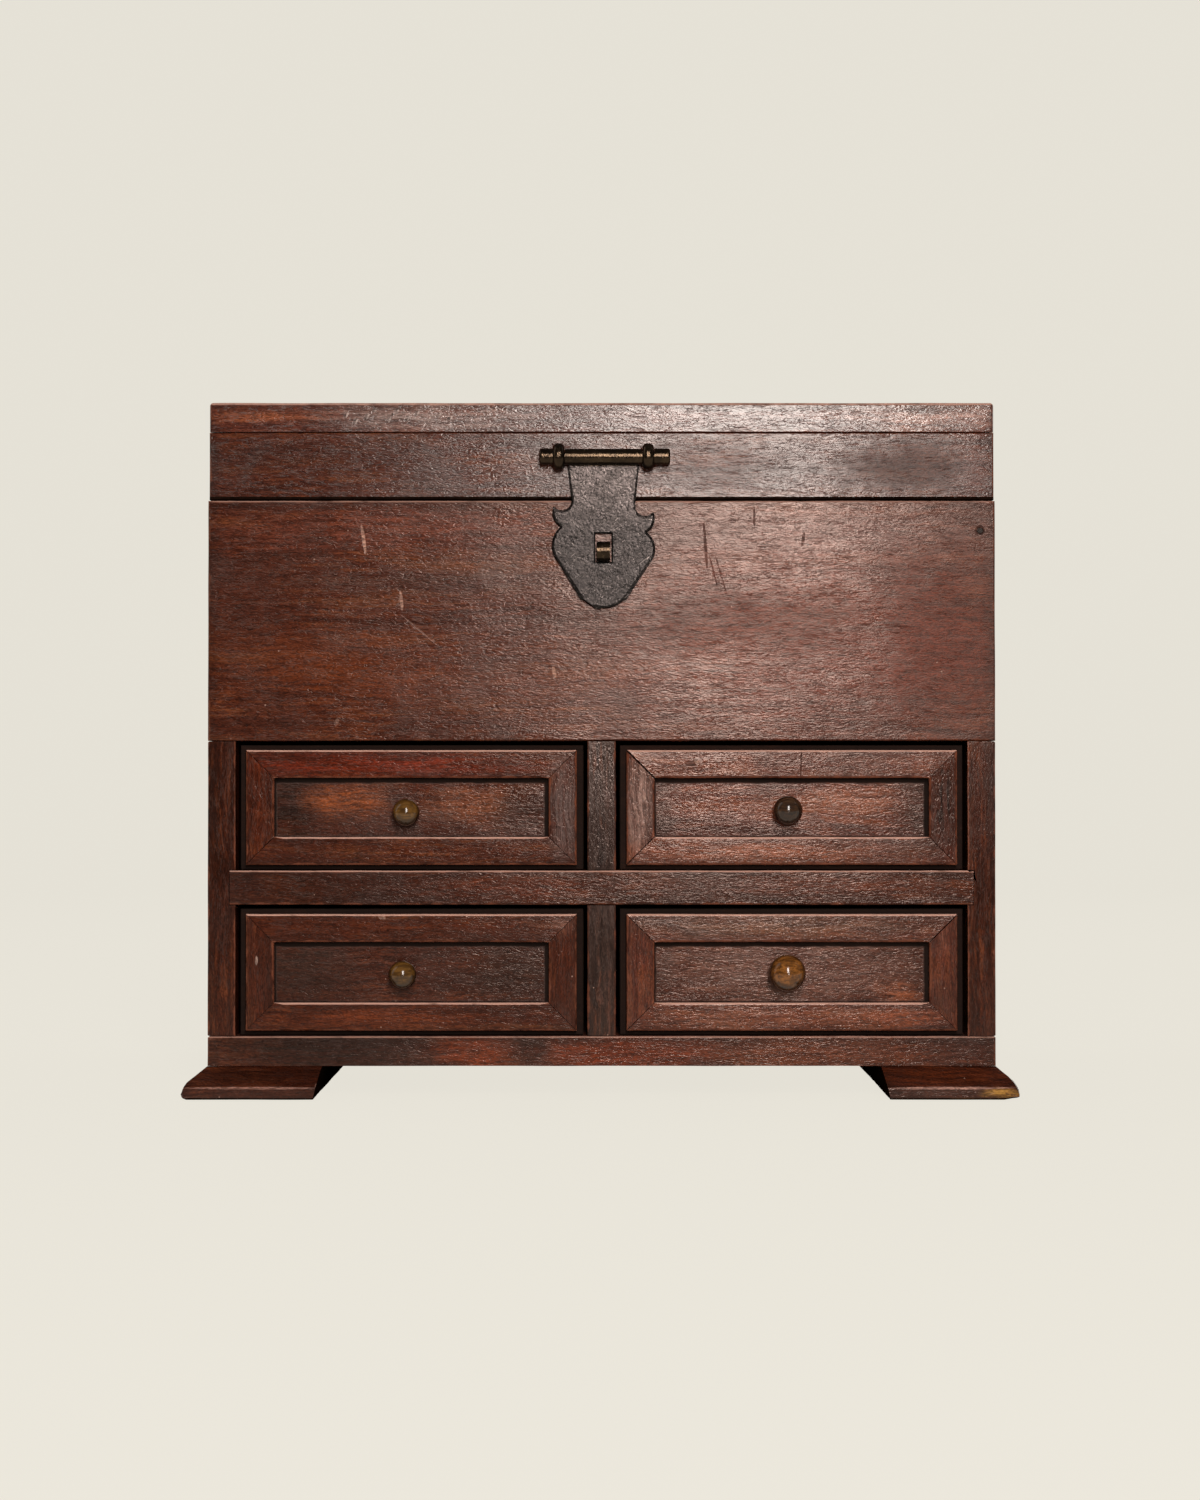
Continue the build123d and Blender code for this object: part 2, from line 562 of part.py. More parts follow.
def hinge_leaf(name, hinge_x, up, own, other):
    """One leaf: up is +1 on the lid and -1 on the case, own and other number the knuckles."""
    spans = knuckle_spans(hinge_x)
    face_z = SEAM_Z + up * SEAM_GAP / 2
    with BuildPart() as leaf:
        with BuildSketch(Plane.XY.offset(face_z)):
            rectangle(
                hinge_x - HINGE_LENGTH / 2,
                HINGE_Y - HINGE_LEAF_WIDTH,
                hinge_x + HINGE_LENGTH / 2,
                HINGE_Y,
            )
        extrude(amount=up * HINGE_LEAF_THICKNESS)
        for number in other:
            start, end = spans[number]
            with BuildSketch(Plane.YZ.offset(start - HINGE_ROOM)):
                with Locations((HINGE_Y, SEAM_Z)):
                    Circle(HINGE_KNUCKLE_RADIUS + HINGE_ROOM)
            extrude(amount=end - start + 2 * HINGE_ROOM, mode=Mode.SUBTRACT)
        for number in own:
            start, end = spans[number]
            with BuildSketch(Plane.YZ.offset(start)):
                with Locations((HINGE_Y, SEAM_Z)):
                    Circle(HINGE_KNUCKLE_RADIUS)
            extrude(amount=end - start)
        with BuildSketch(Plane.YZ.offset(hinge_x - HINGE_LENGTH / 2 - OVERRUN)):
            with Locations((HINGE_Y, SEAM_Z)):
                Circle(HINGE_PIN_RADIUS + RUNNING_FIT)
        extrude(amount=HINGE_LENGTH + 2 * OVERRUN, mode=Mode.SUBTRACT)
        head = SCREW_HEAD_RADIUS + RUNNING_FIT
        shank = SCREW_SHANK_RADIUS + RUNNING_FIT
        with Locations((hinge_x, HINGE_Y - SCREW_LINE, face_z + up * HINGE_LEAF_THICKNESS / 2)):
            with GridLocations(SCREW_PITCH, 0, 3, 1):
                if up > 0:
                    Cone(head, shank, HINGE_LEAF_THICKNESS, mode=Mode.SUBTRACT)
                else:
                    Cone(shank, head, HINGE_LEAF_THICKNESS, mode=Mode.SUBTRACT)
    save(leaf, name)


def hinge_pin(name, hinge_x):
    with BuildPart() as pin:
        with BuildSketch(Plane.YZ.offset(hinge_x - HINGE_LENGTH / 2)):
            with Locations((HINGE_Y, SEAM_Z)):
                Circle(HINGE_PIN_RADIUS)
        extrude(amount=HINGE_LENGTH)
    save(pin, name)


def hinge_screws(name, up):
    """All the screws of one kind of leaf: flat heads flush with the leaf, shanks in the rail or board."""
    face_z = SEAM_Z + up * SEAM_GAP / 2
    with BuildPart() as screws:
        for hinge_x in HINGE_PLACES:
            with Locations((hinge_x, HINGE_Y - SCREW_LINE, face_z + up * HINGE_LEAF_THICKNESS / 2)):
                with GridLocations(SCREW_PITCH, 0, 3, 1):
                    if up > 0:
                        Cone(SCREW_HEAD_RADIUS, SCREW_SHANK_RADIUS, HINGE_LEAF_THICKNESS)
                    else:
                        Cone(SCREW_SHANK_RADIUS, SCREW_HEAD_RADIUS, HINGE_LEAF_THICKNESS)
            with BuildSketch(Plane.XY.offset(face_z + up * HINGE_LEAF_THICKNESS)):
                with Locations((hinge_x, HINGE_Y - SCREW_LINE)):
                    with GridLocations(SCREW_PITCH, 0, 3, 1):
                        Circle(SCREW_SHANK_RADIUS)
            extrude(amount=up * (SCREW_LENGTH - HINGE_LEAF_THICKNESS))
    save(screws, name)


for hinge_name, place in zip(("left_hinge", "right_hinge"), HINGE_PLACES):
    hinge_leaf(f"{hinge_name}_case_leaf", place, -1, (0, 2), (1,))
    hinge_leaf(f"{hinge_name}_lid_leaf", place, 1, (1,), (0, 2))
    hinge_pin(f"{hinge_name}_pin", place)
hinge_screws("case_hinge_screws", -1)
hinge_screws("lid_hinge_screws", 1)

# Hasp


def flank_point(point, side, ear_drop):
    """A named point of the plate's outline on one side, from its shares of the plate's size."""
    width_share, drop_share = HASP_FLANK_SHARES[point]
    point_x = HASP_SHIFT + side * width_share * HASP_HALF_WIDTH
    return point_x, HASP_AXIS_Z - drop_share * HASP_DROP - ear_drop


def flank(side, ear_drop):
    """One edge of the plate, from the knuckle down to the rounded tip."""
    neck_end = flank_point("neck_end", side, ear_drop / 2)
    ear_tip = flank_point("ear_tip", side, ear_drop)
    notch = flank_point("notch", side, ear_drop)
    lobe_end = flank_point("lobe_end", side, ear_drop / 2)
    tip_start = flank_point("tip_start", side, 0)
    Line(flank_point("neck_top", side, 0), neck_end)
    ThreePointArc(neck_end, flank_point("neck_curve", side, ear_drop), ear_tip)
    ThreePointArc(ear_tip, flank_point("ear_side", side, ear_drop), notch)
    ThreePointArc(notch, flank_point("lobe_side", side, ear_drop / 2), lobe_end)
    Line(lobe_end, tip_start)


with BuildPart() as hasp_plate:
    plate_back_y = HASP_AXIS_Y + KNUCKLE_RADIUS
    with BuildSketch(facing(plate_back_y)):
        with BuildLine():
            flank(-1, 0)
            flank(1, HASP_EAR_DROP)
            ThreePointArc(
                flank_point("tip_start", -1, 0),
                (HASP_SHIFT, HASP_AXIS_Z - HASP_DROP),
                flank_point("tip_start", 1, 0),
            )
            Line(flank_point("neck_top", -1, 0), flank_point("neck_top", 1, 0))
        make_face()
    extrude(amount=HASP_PLATE_THICKNESS)
    fillet(hasp_plate.faces().sort_by(Axis.Y)[0].edges().sort_by(Axis.Z)[:-1], HASP_PLATE_ROUND)
    with BuildSketch(Plane.YZ.offset(HASP_SHIFT - HASP_KNUCKLE_LENGTH / 2)):
        with Locations((HASP_AXIS_Y, HASP_AXIS_Z)):
            Circle(KNUCKLE_RADIUS)
    extrude(amount=HASP_KNUCKLE_LENGTH)
    with BuildSketch(Plane.YZ.offset(HASP_SHIFT - HASP_KNUCKLE_LENGTH / 2 - OVERRUN)):
        with Locations((HASP_AXIS_Y, HASP_AXIS_Z)):
            Circle(HASP_PIN_RADIUS + RUNNING_FIT)
    extrude(amount=HASP_KNUCKLE_LENGTH + 2 * OVERRUN, mode=Mode.SUBTRACT)
    slot_z = HASP_AXIS_Z - HASP_SLOT_DROP - HASP_SLOT_HEIGHT / 2
    with BuildSketch(facing(plate_back_y + OVERRUN)):
        with Locations((HASP_SHIFT, slot_z)):
            Rectangle(HASP_SLOT_WIDTH, HASP_SLOT_HEIGHT)
    extrude(amount=HASP_PLATE_THICKNESS + 2 * OVERRUN, mode=Mode.SUBTRACT)
save(hasp_plate, "hasp_plate")

with BuildPart() as hasp_pin:
    pin_half = EYE_X + EYE_WIDTH / 2 + EYE_SIDE_GAP
    with BuildSketch(Plane.YZ.offset(HASP_SHIFT - pin_half)):
        with Locations((HASP_AXIS_Y, HASP_AXIS_Z)):
            Circle(HASP_PIN_RADIUS)
    extrude(amount=2 * pin_half)
    for head_x, head_length in ((-pin_half, -LEFT_PIN_HEAD_LENGTH), (pin_half, RIGHT_PIN_HEAD_LENGTH)):
        with BuildSketch(Plane.YZ.offset(HASP_SHIFT + head_x)):
            with Locations((HASP_AXIS_Y, HASP_AXIS_Z)):
                Circle(PIN_HEAD_RADIUS)
        extrude(amount=head_length)
    ends = hasp_pin.faces().filter_by(Axis.X).sort_by(Axis.X)
    fillet(ends[0].edges() + ends[-1].edges(), PIN_HEAD_ROUND)
save(hasp_pin, "hasp_pin")


def hasp_eye(name, side):
    """Beaded iron ring on a round shank that is driven into the lid's front rail."""
    eye_x = HASP_SHIFT + side * EYE_X
    with BuildPart() as eye:
        with BuildSketch(Plane.YZ.offset(eye_x - EYE_WIDTH / 2)):
            with Locations((HASP_AXIS_Y, HASP_AXIS_Z)):
                Circle(EYE_RADIUS)
        extrude(amount=EYE_WIDTH)
        fillet(eye.edges(), EYE_ROUND)
        with BuildSketch(facing(HASP_AXIS_Y)):
            with Locations((eye_x, HASP_AXIS_Z)):
                Circle(EYE_SHANK_RADIUS)
        extrude(amount=-EYE_SHANK_LENGTH)
        with BuildSketch(Plane.YZ.offset(eye_x - EYE_WIDTH / 2 - OVERRUN)):
            with Locations((HASP_AXIS_Y, HASP_AXIS_Z)):
                Circle(HASP_PIN_RADIUS + RUNNING_FIT)
        extrude(amount=EYE_WIDTH + 2 * OVERRUN, mode=Mode.SUBTRACT)
    save(eye, name)


hasp_eye("left_hasp_eye", -1)
hasp_eye("right_hasp_eye", 1)

# Drawers

Drawer = namedtuple("Drawer", "name x z height knob_diameter")
DRAWER_X = DIVIDER_THICKNESS / 2 + OPENING_WIDTH / 2
DRAWERS = (
    Drawer("upper_left", -DRAWER_X, UPPER_Z, UPPER_OPENING_HEIGHT, UPPER_LEFT_KNOB_DIAMETER),
    Drawer("upper_right", DRAWER_X, UPPER_Z, UPPER_OPENING_HEIGHT, UPPER_RIGHT_KNOB_DIAMETER),
    Drawer("lower_left", -DRAWER_X, LOWER_Z, LOWER_OPENING_HEIGHT, LOWER_LEFT_KNOB_DIAMETER),
    Drawer("lower_right", DRAWER_X, LOWER_Z, LOWER_OPENING_HEIGHT, LOWER_RIGHT_KNOB_DIAMETER),
)
DRAWER_HALF_WIDTH = OPENING_WIDTH / 2 - DRAWER_SIDE_GAP
DRAWER_FACE_Y = FRONT_Y + SETBACK
DRAWER_INNER_Y = DRAWER_FACE_Y + DRAWER_FRONT_THICKNESS
DRAWER_LAP_Y = DRAWER_FACE_Y + DRAWER_LAP
DRAWER_END_Y = INNER_BACK_Y - DRAWER_BACK_GAP
DRAWER_INNER_X = DRAWER_HALF_WIDTH - DRAWER_SIDE_THICKNESS


def front_span(drawer):
    """Lower and upper edge of a drawer's front board."""
    return drawer.z + DRAWER_RUNNING_GAP, drawer.z + drawer.height - DRAWER_TOP_GAP


def knob_place(drawer):
    low, high = front_span(drawer)
    panel_width = 2 * (DRAWER_HALF_WIDTH - MOULDING_SIDE_MARGIN - MOULDING_WIDTH)
    panel_height = high - low - 2 * (MOULDING_END_MARGIN + MOULDING_WIDTH)
    width_share, height_share = KNOB_SHIFT_SHARES[drawer.name]
    return drawer.x + width_share * panel_width, (low + high) / 2 + height_share * panel_height


def drawer_front(drawer):
    """Front board, rebated at both ends for the sides and grooved for the bottom."""
    low, high = front_span(drawer)
    panel_z = low + DRAWER_BOTTOM_RISE
    with BuildPart() as board:
        with BuildSketch(facing(DRAWER_FACE_Y)):
            rectangle(drawer.x - DRAWER_HALF_WIDTH, low, drawer.x + DRAWER_HALF_WIDTH, high)
        extrude(amount=-DRAWER_FRONT_THICKNESS)
        fillet(board.faces().sort_by(Axis.Y)[0].edges(), DRAWER_ROUND)
        with BuildSketch(facing(DRAWER_LAP_Y)):
            for side in (-1, 1):
                rectangle(
                    drawer.x + side * DRAWER_INNER_X,
                    low - OVERRUN,
                    drawer.x + side * (DRAWER_HALF_WIDTH + OVERRUN),
                    high - DRAWER_SIDE_DROP,
                )
            rectangle(
                drawer.x - DRAWER_HALF_WIDTH,
                panel_z,
                drawer.x + DRAWER_HALF_WIDTH,
                panel_z + DRAWER_BOTTOM_THICKNESS,
            )
        extrude(amount=-DRAWER_FRONT_THICKNESS, mode=Mode.SUBTRACT)
        with BuildSketch(facing(DRAWER_FACE_Y - OVERRUN)):
            with Locations(knob_place(drawer)):
                Circle(KNOB_TENON_RADIUS + RUNNING_FIT)
        extrude(amount=-DRAWER_FRONT_THICKNESS - 2 * OVERRUN, mode=Mode.SUBTRACT)
    save(board, f"{drawer.name}_drawer_front")


def drawer_moulding(drawer):
    """Four mitred lengths planted on the front board, their outer edges worn round."""
    low, high = front_span(drawer)
    outer_x = DRAWER_HALF_WIDTH - MOULDING_SIDE_MARGIN
    inner_x = outer_x - MOULDING_WIDTH
    outer_z = (high - low) / 2 - MOULDING_END_MARGIN
    inner_z = outer_z - MOULDING_WIDTH
    middle_z = (low + high) / 2
    with BuildPart() as moulding:
        with BuildSketch(facing(DRAWER_FACE_Y)):
            with Locations((drawer.x, middle_z)):
                for side in (-1, 1):
                    Polygon(
                        (MITRE_GAP - outer_x, side * outer_z),
                        (outer_x - MITRE_GAP, side * outer_z),
                        (inner_x - MITRE_GAP, side * inner_z),
                        (MITRE_GAP - inner_x, side * inner_z),
                        align=None,
                    )
                    Polygon(
                        (side * outer_x, MITRE_GAP - outer_z),
                        (side * outer_x, outer_z - MITRE_GAP),
                        (side * inner_x, inner_z - MITRE_GAP),
                        (side * inner_x, MITRE_GAP - inner_z),
                        align=None,
                    )
        extrude(amount=MOULDING_THICKNESS)
        face_edges = moulding.faces().filter_by(Axis.Y).group_by(Axis.Y)[0].edges()
        straight = face_edges.filter_by(Axis.X) + face_edges.filter_by(Axis.Z)
        middle = Vector(drawer.x, DRAWER_FACE_Y - MOULDING_THICKNESS, middle_z)
        outer = straight.filter_by(
            lambda edge: max(
                abs(edge.center().X - middle.X) - (outer_x + inner_x) / 2,
                abs(edge.center().Z - middle.Z) - (outer_z + inner_z) / 2,
            )
            > 0
        )
        inner = [edge for edge in straight if edge not in outer]
        fillet(outer, MOULDING_OUTER_ROUND)
        fillet(inner, MOULDING_INNER_ROUND)
    save(moulding, f"{drawer.name}_drawer_moulding")


def drawer_side(drawer, word, side):
    """Side, let into the front's rebate, grooved for the bottom and rebated at its end for the back."""
    low, high = front_span(drawer)
    inner_x = drawer.x + side * DRAWER_INNER_X
    panel_z = low + DRAWER_BOTTOM_RISE
    with BuildPart() as board:
        with BuildSketch(Plane.YZ.offset(inner_x)):
            rectangle(DRAWER_LAP_Y, low, DRAWER_END_Y, high - DRAWER_SIDE_DROP)
        extrude(amount=side * DRAWER_SIDE_THICKNESS)
        with BuildSketch(Plane.YZ.offset(inner_x)):
            rectangle(
                DRAWER_LAP_Y - OVERRUN,
                panel_z,
                DRAWER_END_Y + OVERRUN,
                panel_z + DRAWER_BOTTOM_THICKNESS,
            )
            rectangle(
                DRAWER_END_Y - DRAWER_BACK_THICKNESS,
                panel_z + DRAWER_BOTTOM_THICKNESS,
                DRAWER_END_Y + OVERRUN,
                high + OVERRUN,
            )
        extrude(amount=side * DRAWER_GROOVE_DEPTH, mode=Mode.SUBTRACT)
    save(board, f"{drawer.name}_drawer_{word}_side")


def drawer_back(drawer):
    """Back, standing on the bottom between the sides."""
    low, high = front_span(drawer)
    half = DRAWER_INNER_X + DRAWER_GROOVE_DEPTH
    with BuildPart() as board:
        with BuildSketch(facing(DRAWER_END_Y)):
            rectangle(
                drawer.x - half,
                low + DRAWER_BOTTOM_RISE + DRAWER_BOTTOM_THICKNESS,
                drawer.x + half,
                high - DRAWER_SIDE_DROP,
            )
        extrude(amount=DRAWER_BACK_THICKNESS)
    save(board, f"{drawer.name}_drawer_back")


def drawer_bottom(drawer):
    """Bottom panel, in the grooves of the front and sides."""
    low, high = front_span(drawer)
    half = DRAWER_INNER_X + DRAWER_GROOVE_DEPTH
    with BuildPart() as board:
        with BuildSketch(Plane.XY.offset(low + DRAWER_BOTTOM_RISE)):
            rectangle(drawer.x - half, DRAWER_LAP_Y, drawer.x + half, DRAWER_END_Y)
        extrude(amount=DRAWER_BOTTOM_THICKNESS)
    save(board, f"{drawer.name}_drawer_bottom")


def drawer_knob(drawer):
    """Turned ball on a short neck, with a tenon through the front board."""
    knob_x, knob_z = knob_place(drawer)
    radius = drawer.knob_diameter / 2
    centre = ball_centre(drawer.knob_diameter)
    axis_plane = Plane(origin=(knob_x, DRAWER_FACE_Y, knob_z), x_dir=(0, -1, 0), z_dir=(-1, 0, 0))
    with BuildPart() as knob:
        with BuildSketch(axis_plane):
            with BuildLine():
                Polyline(
                    (centre + radius, 0),
                    (-DRAWER_FRONT_THICKNESS, 0),
                    (-DRAWER_FRONT_THICKNESS, KNOB_TENON_RADIUS),
                    (0, KNOB_TENON_RADIUS),
                    (0, KNOB_BASE_RADIUS),
                    (KNOB_NECK_LENGTH, KNOB_NECK_RADIUS),
                )
                ThreePointArc((KNOB_NECK_LENGTH, KNOB_NECK_RADIUS), (centre, radius), (centre + radius, 0))
            make_face()
        revolve(axis=Axis((knob_x, DRAWER_FACE_Y, knob_z), (0, -1, 0)))
    save(knob, f"{drawer.name}_drawer_knob")


for drawer in DRAWERS:
    drawer_front(drawer)
    drawer_moulding(drawer)
    drawer_side(drawer, "left", -1)
    drawer_side(drawer, "right", 1)
    drawer_back(drawer)
    drawer_bottom(drawer)
    drawer_knob(drawer)
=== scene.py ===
# %% [markdown]
# # A small old chest: a lifting lid over a well, and four drawers
# The chest is made of dark red-brown boards that hands have rubbed for generations, with an iron hasp and
# turned knobs. The solids come from the CAD frame, already in their places and in metres, so this lesson
# gives them their wear, their grain and their light. Nothing is fitted by eye: every piece reads its place
# from the frame.

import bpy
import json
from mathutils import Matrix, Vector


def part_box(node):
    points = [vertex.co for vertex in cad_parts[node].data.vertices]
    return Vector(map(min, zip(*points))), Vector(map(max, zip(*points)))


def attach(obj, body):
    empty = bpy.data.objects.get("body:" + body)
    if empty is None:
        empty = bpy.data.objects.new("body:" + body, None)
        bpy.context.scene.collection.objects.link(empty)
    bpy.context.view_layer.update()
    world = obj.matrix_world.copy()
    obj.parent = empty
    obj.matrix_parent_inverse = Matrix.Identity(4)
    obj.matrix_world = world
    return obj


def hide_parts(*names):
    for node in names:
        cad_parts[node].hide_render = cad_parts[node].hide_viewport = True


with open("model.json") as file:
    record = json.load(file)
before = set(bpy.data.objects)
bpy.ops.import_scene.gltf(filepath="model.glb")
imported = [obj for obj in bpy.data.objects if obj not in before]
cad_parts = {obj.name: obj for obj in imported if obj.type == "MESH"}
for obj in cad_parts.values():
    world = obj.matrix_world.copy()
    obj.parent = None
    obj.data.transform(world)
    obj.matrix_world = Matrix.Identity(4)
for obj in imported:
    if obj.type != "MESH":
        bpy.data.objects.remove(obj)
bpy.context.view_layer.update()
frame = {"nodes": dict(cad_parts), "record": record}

# %% Tools of the lesson
import json
import math

import bmesh
import bpy
from mathutils import Vector, noise

scene = bpy.context.scene
scene.view_settings.view_transform = "Standard"
record = frame["record"]
body_of_node = {node: body for body, nodes in record["behaviour"]["bodies"].items() for node in nodes}
slot_of_node = {part["node"]: part["material_slot"] for part in record["subparts"]}
print("bodies:", sorted(set(body_of_node.values())))

# %% [markdown]
# ## The camera
# The picture was taken straight from the front, a little above the middle of the drawers, from about
# 1.8 m away. The case is square to the picture, so the camera could be placed by the case's width alone:
# 500 mm of front board fills 788 of the 1200 pixels. A long lens keeps the sides from showing.

# %% Camera in front of the hasp
FRONT_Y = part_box("case_front_board")[0].y
AWAY = 1.8                     # metres from the front board
EYE, AIM = 0.198, 0.2203       # heights of the camera and of the middle of the picture
ASIDE = -0.001                 # the picture's middle lies a millimetre left of the chest's
camera_data = bpy.data.cameras.new("front_camera")
camera_data.lens = 68.1
camera_data.sensor_width = 36.0
camera = bpy.data.objects.new("front_camera", camera_data)
scene.collection.objects.link(camera)
camera.location = (ASIDE, FRONT_Y - AWAY, EYE)
aim = Vector((ASIDE, FRONT_Y, AIM)) - camera.location
camera.rotation_euler = aim.to_track_quat("-Z", "Y").to_euler()
scene.camera = camera
print("camera distance to the front board:", round(aim.length, 3), "m")

# %% [markdown]
# ## Colours and nodes
# Colours are written as sRGB hex, as a picker gives them, and one function turns them to the linear light
# that shaders add up. One more small function adds a node, sets it and links it, so that a material reads
# as a list of steps.

# %% Hex to linear
def linear(hexa):
    channels = [int(hexa[i:i + 2], 16) / 255 for i in (1, 3, 5)]
    return [c / 12.92 if c <= 0.04045 else ((c + 0.055) / 1.055) ** 2.4 for c in channels] + [1.0]


print("studio paper in linear light:", [round(c, 3) for c in linear("#e8e4d9")])


# %% One node at a time
def put(tree, kind, feeds=None, out=None, **settings):
    node = tree.nodes.new("ShaderNode" + kind)
    for name, value in settings.items():
        setattr(node, name, value)
    sockets = [socket for socket in node.inputs if socket.enabled]
    for place, value in (feeds or {}).items():
        found = sockets[place] if isinstance(place, int) else next(s for s in sockets if s.name == place)
        if isinstance(value, bpy.types.NodeSocket):
            tree.links.new(value, found)
        else:
            found.default_value = value
    results = [socket for socket in node.outputs if socket.enabled]
    return next((s for s in results if s.name == out), results[0] if results else node)


def blank_finish(name):
    finish = bpy.data.materials.new(name)
    finish.use_nodes = True
    finish.node_tree.nodes.clear()
    return finish, finish.node_tree


SMOOTH = {"interpolation_type": "SMOOTHSTEP"}   # a map range that eases in and out
RGBA = {"data_type": "RGBA"}                    # a mix of colours
print("settings with a name:", SMOOTH, RGBA)

# %% [markdown]
# ## The floor and the studio light
# The picture has a flat pale ground with no horizon. A sheet of paper that lies on the table and curves up
# behind the chest gives that. Its own glow carries most of the tone for the camera, and a small share of
# plain diffuse paper keeps the soft shadow of the feet. The sheet ends a metre in front of the chest, so
# that the waxed fronts mirror the dim room and stay dark.

# %% Paper sweep
PAPER = "#e8e4d9"
HALF_SHEET, SHEET_AHEAD, RISE, CURVE = 5.0, 1.1, 6.0, 1.6   # metres
UNDER_FEET = 0.0003
sweep = bmesh.new()
bmesh.ops.create_grid(sweep, x_segments=1, y_segments=1, size=HALF_SHEET)
rear = [edge for edge in sweep.edges if all(vert.co.y > 0 for vert in edge.verts)]
ahead = [vert for vert in sweep.verts if vert.co.y < 0]
bmesh.ops.translate(sweep, vec=(0, HALF_SHEET + FRONT_Y - SHEET_AHEAD, 0), verts=ahead)
raised = bmesh.ops.extrude_edge_only(sweep, edges=rear)["geom"]
raised = [part for part in raised if isinstance(part, bmesh.types.BMVert)]
bmesh.ops.translate(sweep, vec=(0, 0, RISE), verts=raised)
bmesh.ops.bevel(sweep, geom=rear, offset=CURVE, segments=24, profile=0.5, affect="EDGES", material=-1)
bmesh.ops.translate(sweep, vec=(0, 0, -UNDER_FEET), verts=sweep.verts)
for face in sweep.faces:
    face.smooth = True
sweep_mesh = bpy.data.meshes.new("paper_sweep")
sweep.to_mesh(sweep_mesh)
sweep.free()
paper_sweep = bpy.data.objects.new("paper_sweep", sweep_mesh)
scene.collection.objects.link(paper_sweep)
print("paper sweep faces:", len(sweep_mesh.polygons))

# %% Studio paper: matte, and bright enough to be the ground
studio_paper, tree = blank_finish("matte_studio_paper")
GLOW = 0.93   # the share of its tone that the paper gives off by itself
FIBRE = 900   # fibres to the metre, drawn coarser than real ones to show
ray = put(tree, "LightPath").node.outputs
seen = put(tree, "Math", {0: ray["Is Camera Ray"], 1: ray["Is Glossy Ray"]}, operation="MAXIMUM")
seen = put(tree, "Math", {0: seen, 1: ray["Is Transmission Ray"]}, operation="MAXIMUM")
glow = put(tree, "Math", {0: seen, 1: GLOW}, operation="MULTIPLY")
place = put(tree, "TexCoord", out="Object")
fibre = put(tree, "TexNoise", {"Vector": place, "Scale": FIBRE, "Detail": 2.0}, "Fac")
sheet_tone = put(tree, "Mix", {0: fibre, "A": linear("#e4e0d5"), "B": linear("#eae6db")}, **RGBA)
matte = put(tree, "BsdfDiffuse", {"Color": sheet_tone})
bright = put(tree, "Emission", {"Color": linear("#ebe7dc"), "Strength": 1.0})
surface = put(tree, "MixShader", {0: glow, 1: matte, 2: bright})
put(tree, "OutputMaterial", {"Surface": surface})
paper_sweep.data.materials.append(studio_paper)
print("paper material:", studio_paper.name)

# %% World: even, dim, and paper-coloured to the camera
world = bpy.data.worlds.new("studio_room")
world.use_nodes = True
world.node_tree.nodes.clear()
tree = world.node_tree
to_camera = put(tree, "LightPath", out="Is Camera Ray")
room = put(tree, "Background", {"Color": linear("#f4f1ec"), "Strength": 0.12})
ground = put(tree, "Background", {"Color": linear(PAPER), "Strength": 1.0})
put(tree, "OutputWorld", {"Surface": put(tree, "MixShader", {0: to_camera, 1: room, 2: ground})})
scene.world = world
print("world:", world.name)


# %% Softboxes
def softbox(name, place, target, width, height, watts, tint):
    lamp = bpy.data.lights.new(name, "AREA")
    lamp.shape = "RECTANGLE"
    lamp.size, lamp.size_y = width, height
    lamp.energy = watts
    lamp.color = linear(tint)[:3]
    holder = bpy.data.objects.new(name, lamp)
    scene.collection.objects.link(holder)
    holder.location = place
    holder.rotation_euler = (Vector(target) - Vector(place)).to_track_quat("-Z", "Y").to_euler()
    return holder


# a tall narrow lamp in front makes the gleam down the middle, and two broad ones fill the sides
softbox("key_softbox", (0.215, FRONT_Y - 2.4, 1.06), (0.1, FRONT_Y, 0.24), 0.38, 1.5, 57.0, "#fff8f2")
softbox("left_softbox", (-2.2, 0.6, 1.6), (0.0, 0.0, 0.2), 2.6, 2.6, 22.0, "#fffaf5")
softbox("right_softbox", (2.2, 1.2, 1.6), (0.0, 0.0, 0.2), 2.6, 2.6, 22.0, "#fffaf5")

# %% [markdown]
# ## Old waxed hardwood
# The boards are a close-grained red-brown hardwood, planed by hand and waxed many times. The eye sees
# streaks along the grain, short dark pores, worm-like ripples where the wax has settled, with a painted
# highlight and shade on their sides, red places rubbed thin, grey bloom, dirt and painted shade in the
# corners, and bright worn edges, with a painted highlight on those that face up. One picture could be
# wrapped round all of it, but it would stretch and repeat, so the wood is built from noise in three
# dimensions, as a tree is, with all sizes in millimetres. Each board has its own finish, because wear is
# measured from its own edges.

# %% Streaks along the grain
from types import SimpleNamespace


def millimetres(tree):
    place = put(tree, "TexCoord", out="Object")
    return put(tree, "VectorMath", {0: place, "Scale": 1000.0}, operation="SCALE")


def grain(tree, place, axis, along, across, detail, twist=0.0):
    size = [1 / across] * 3
    size["xyz".index(axis)] = 1 / along
    lay = put(tree, "Mapping", {"Vector": place, "Scale": size})
    return put(tree, "TexNoise", {"Vector": lay, "Scale": 1.0, "Detail": detail, "Distortion": twist}, "Fac")


def hairlines(tree, field, wide):
    # a hairline runs where a smooth noise passes its middle value
    off = put(tree, "Math", {0: field, 1: 0.5}, operation="SUBTRACT")
    off = put(tree, "Math", {0: off}, operation="ABSOLUTE")
    return put(tree, "MapRange", {0: off, 1: wide, 2: 0.2 * wide}, **SMOOTH)


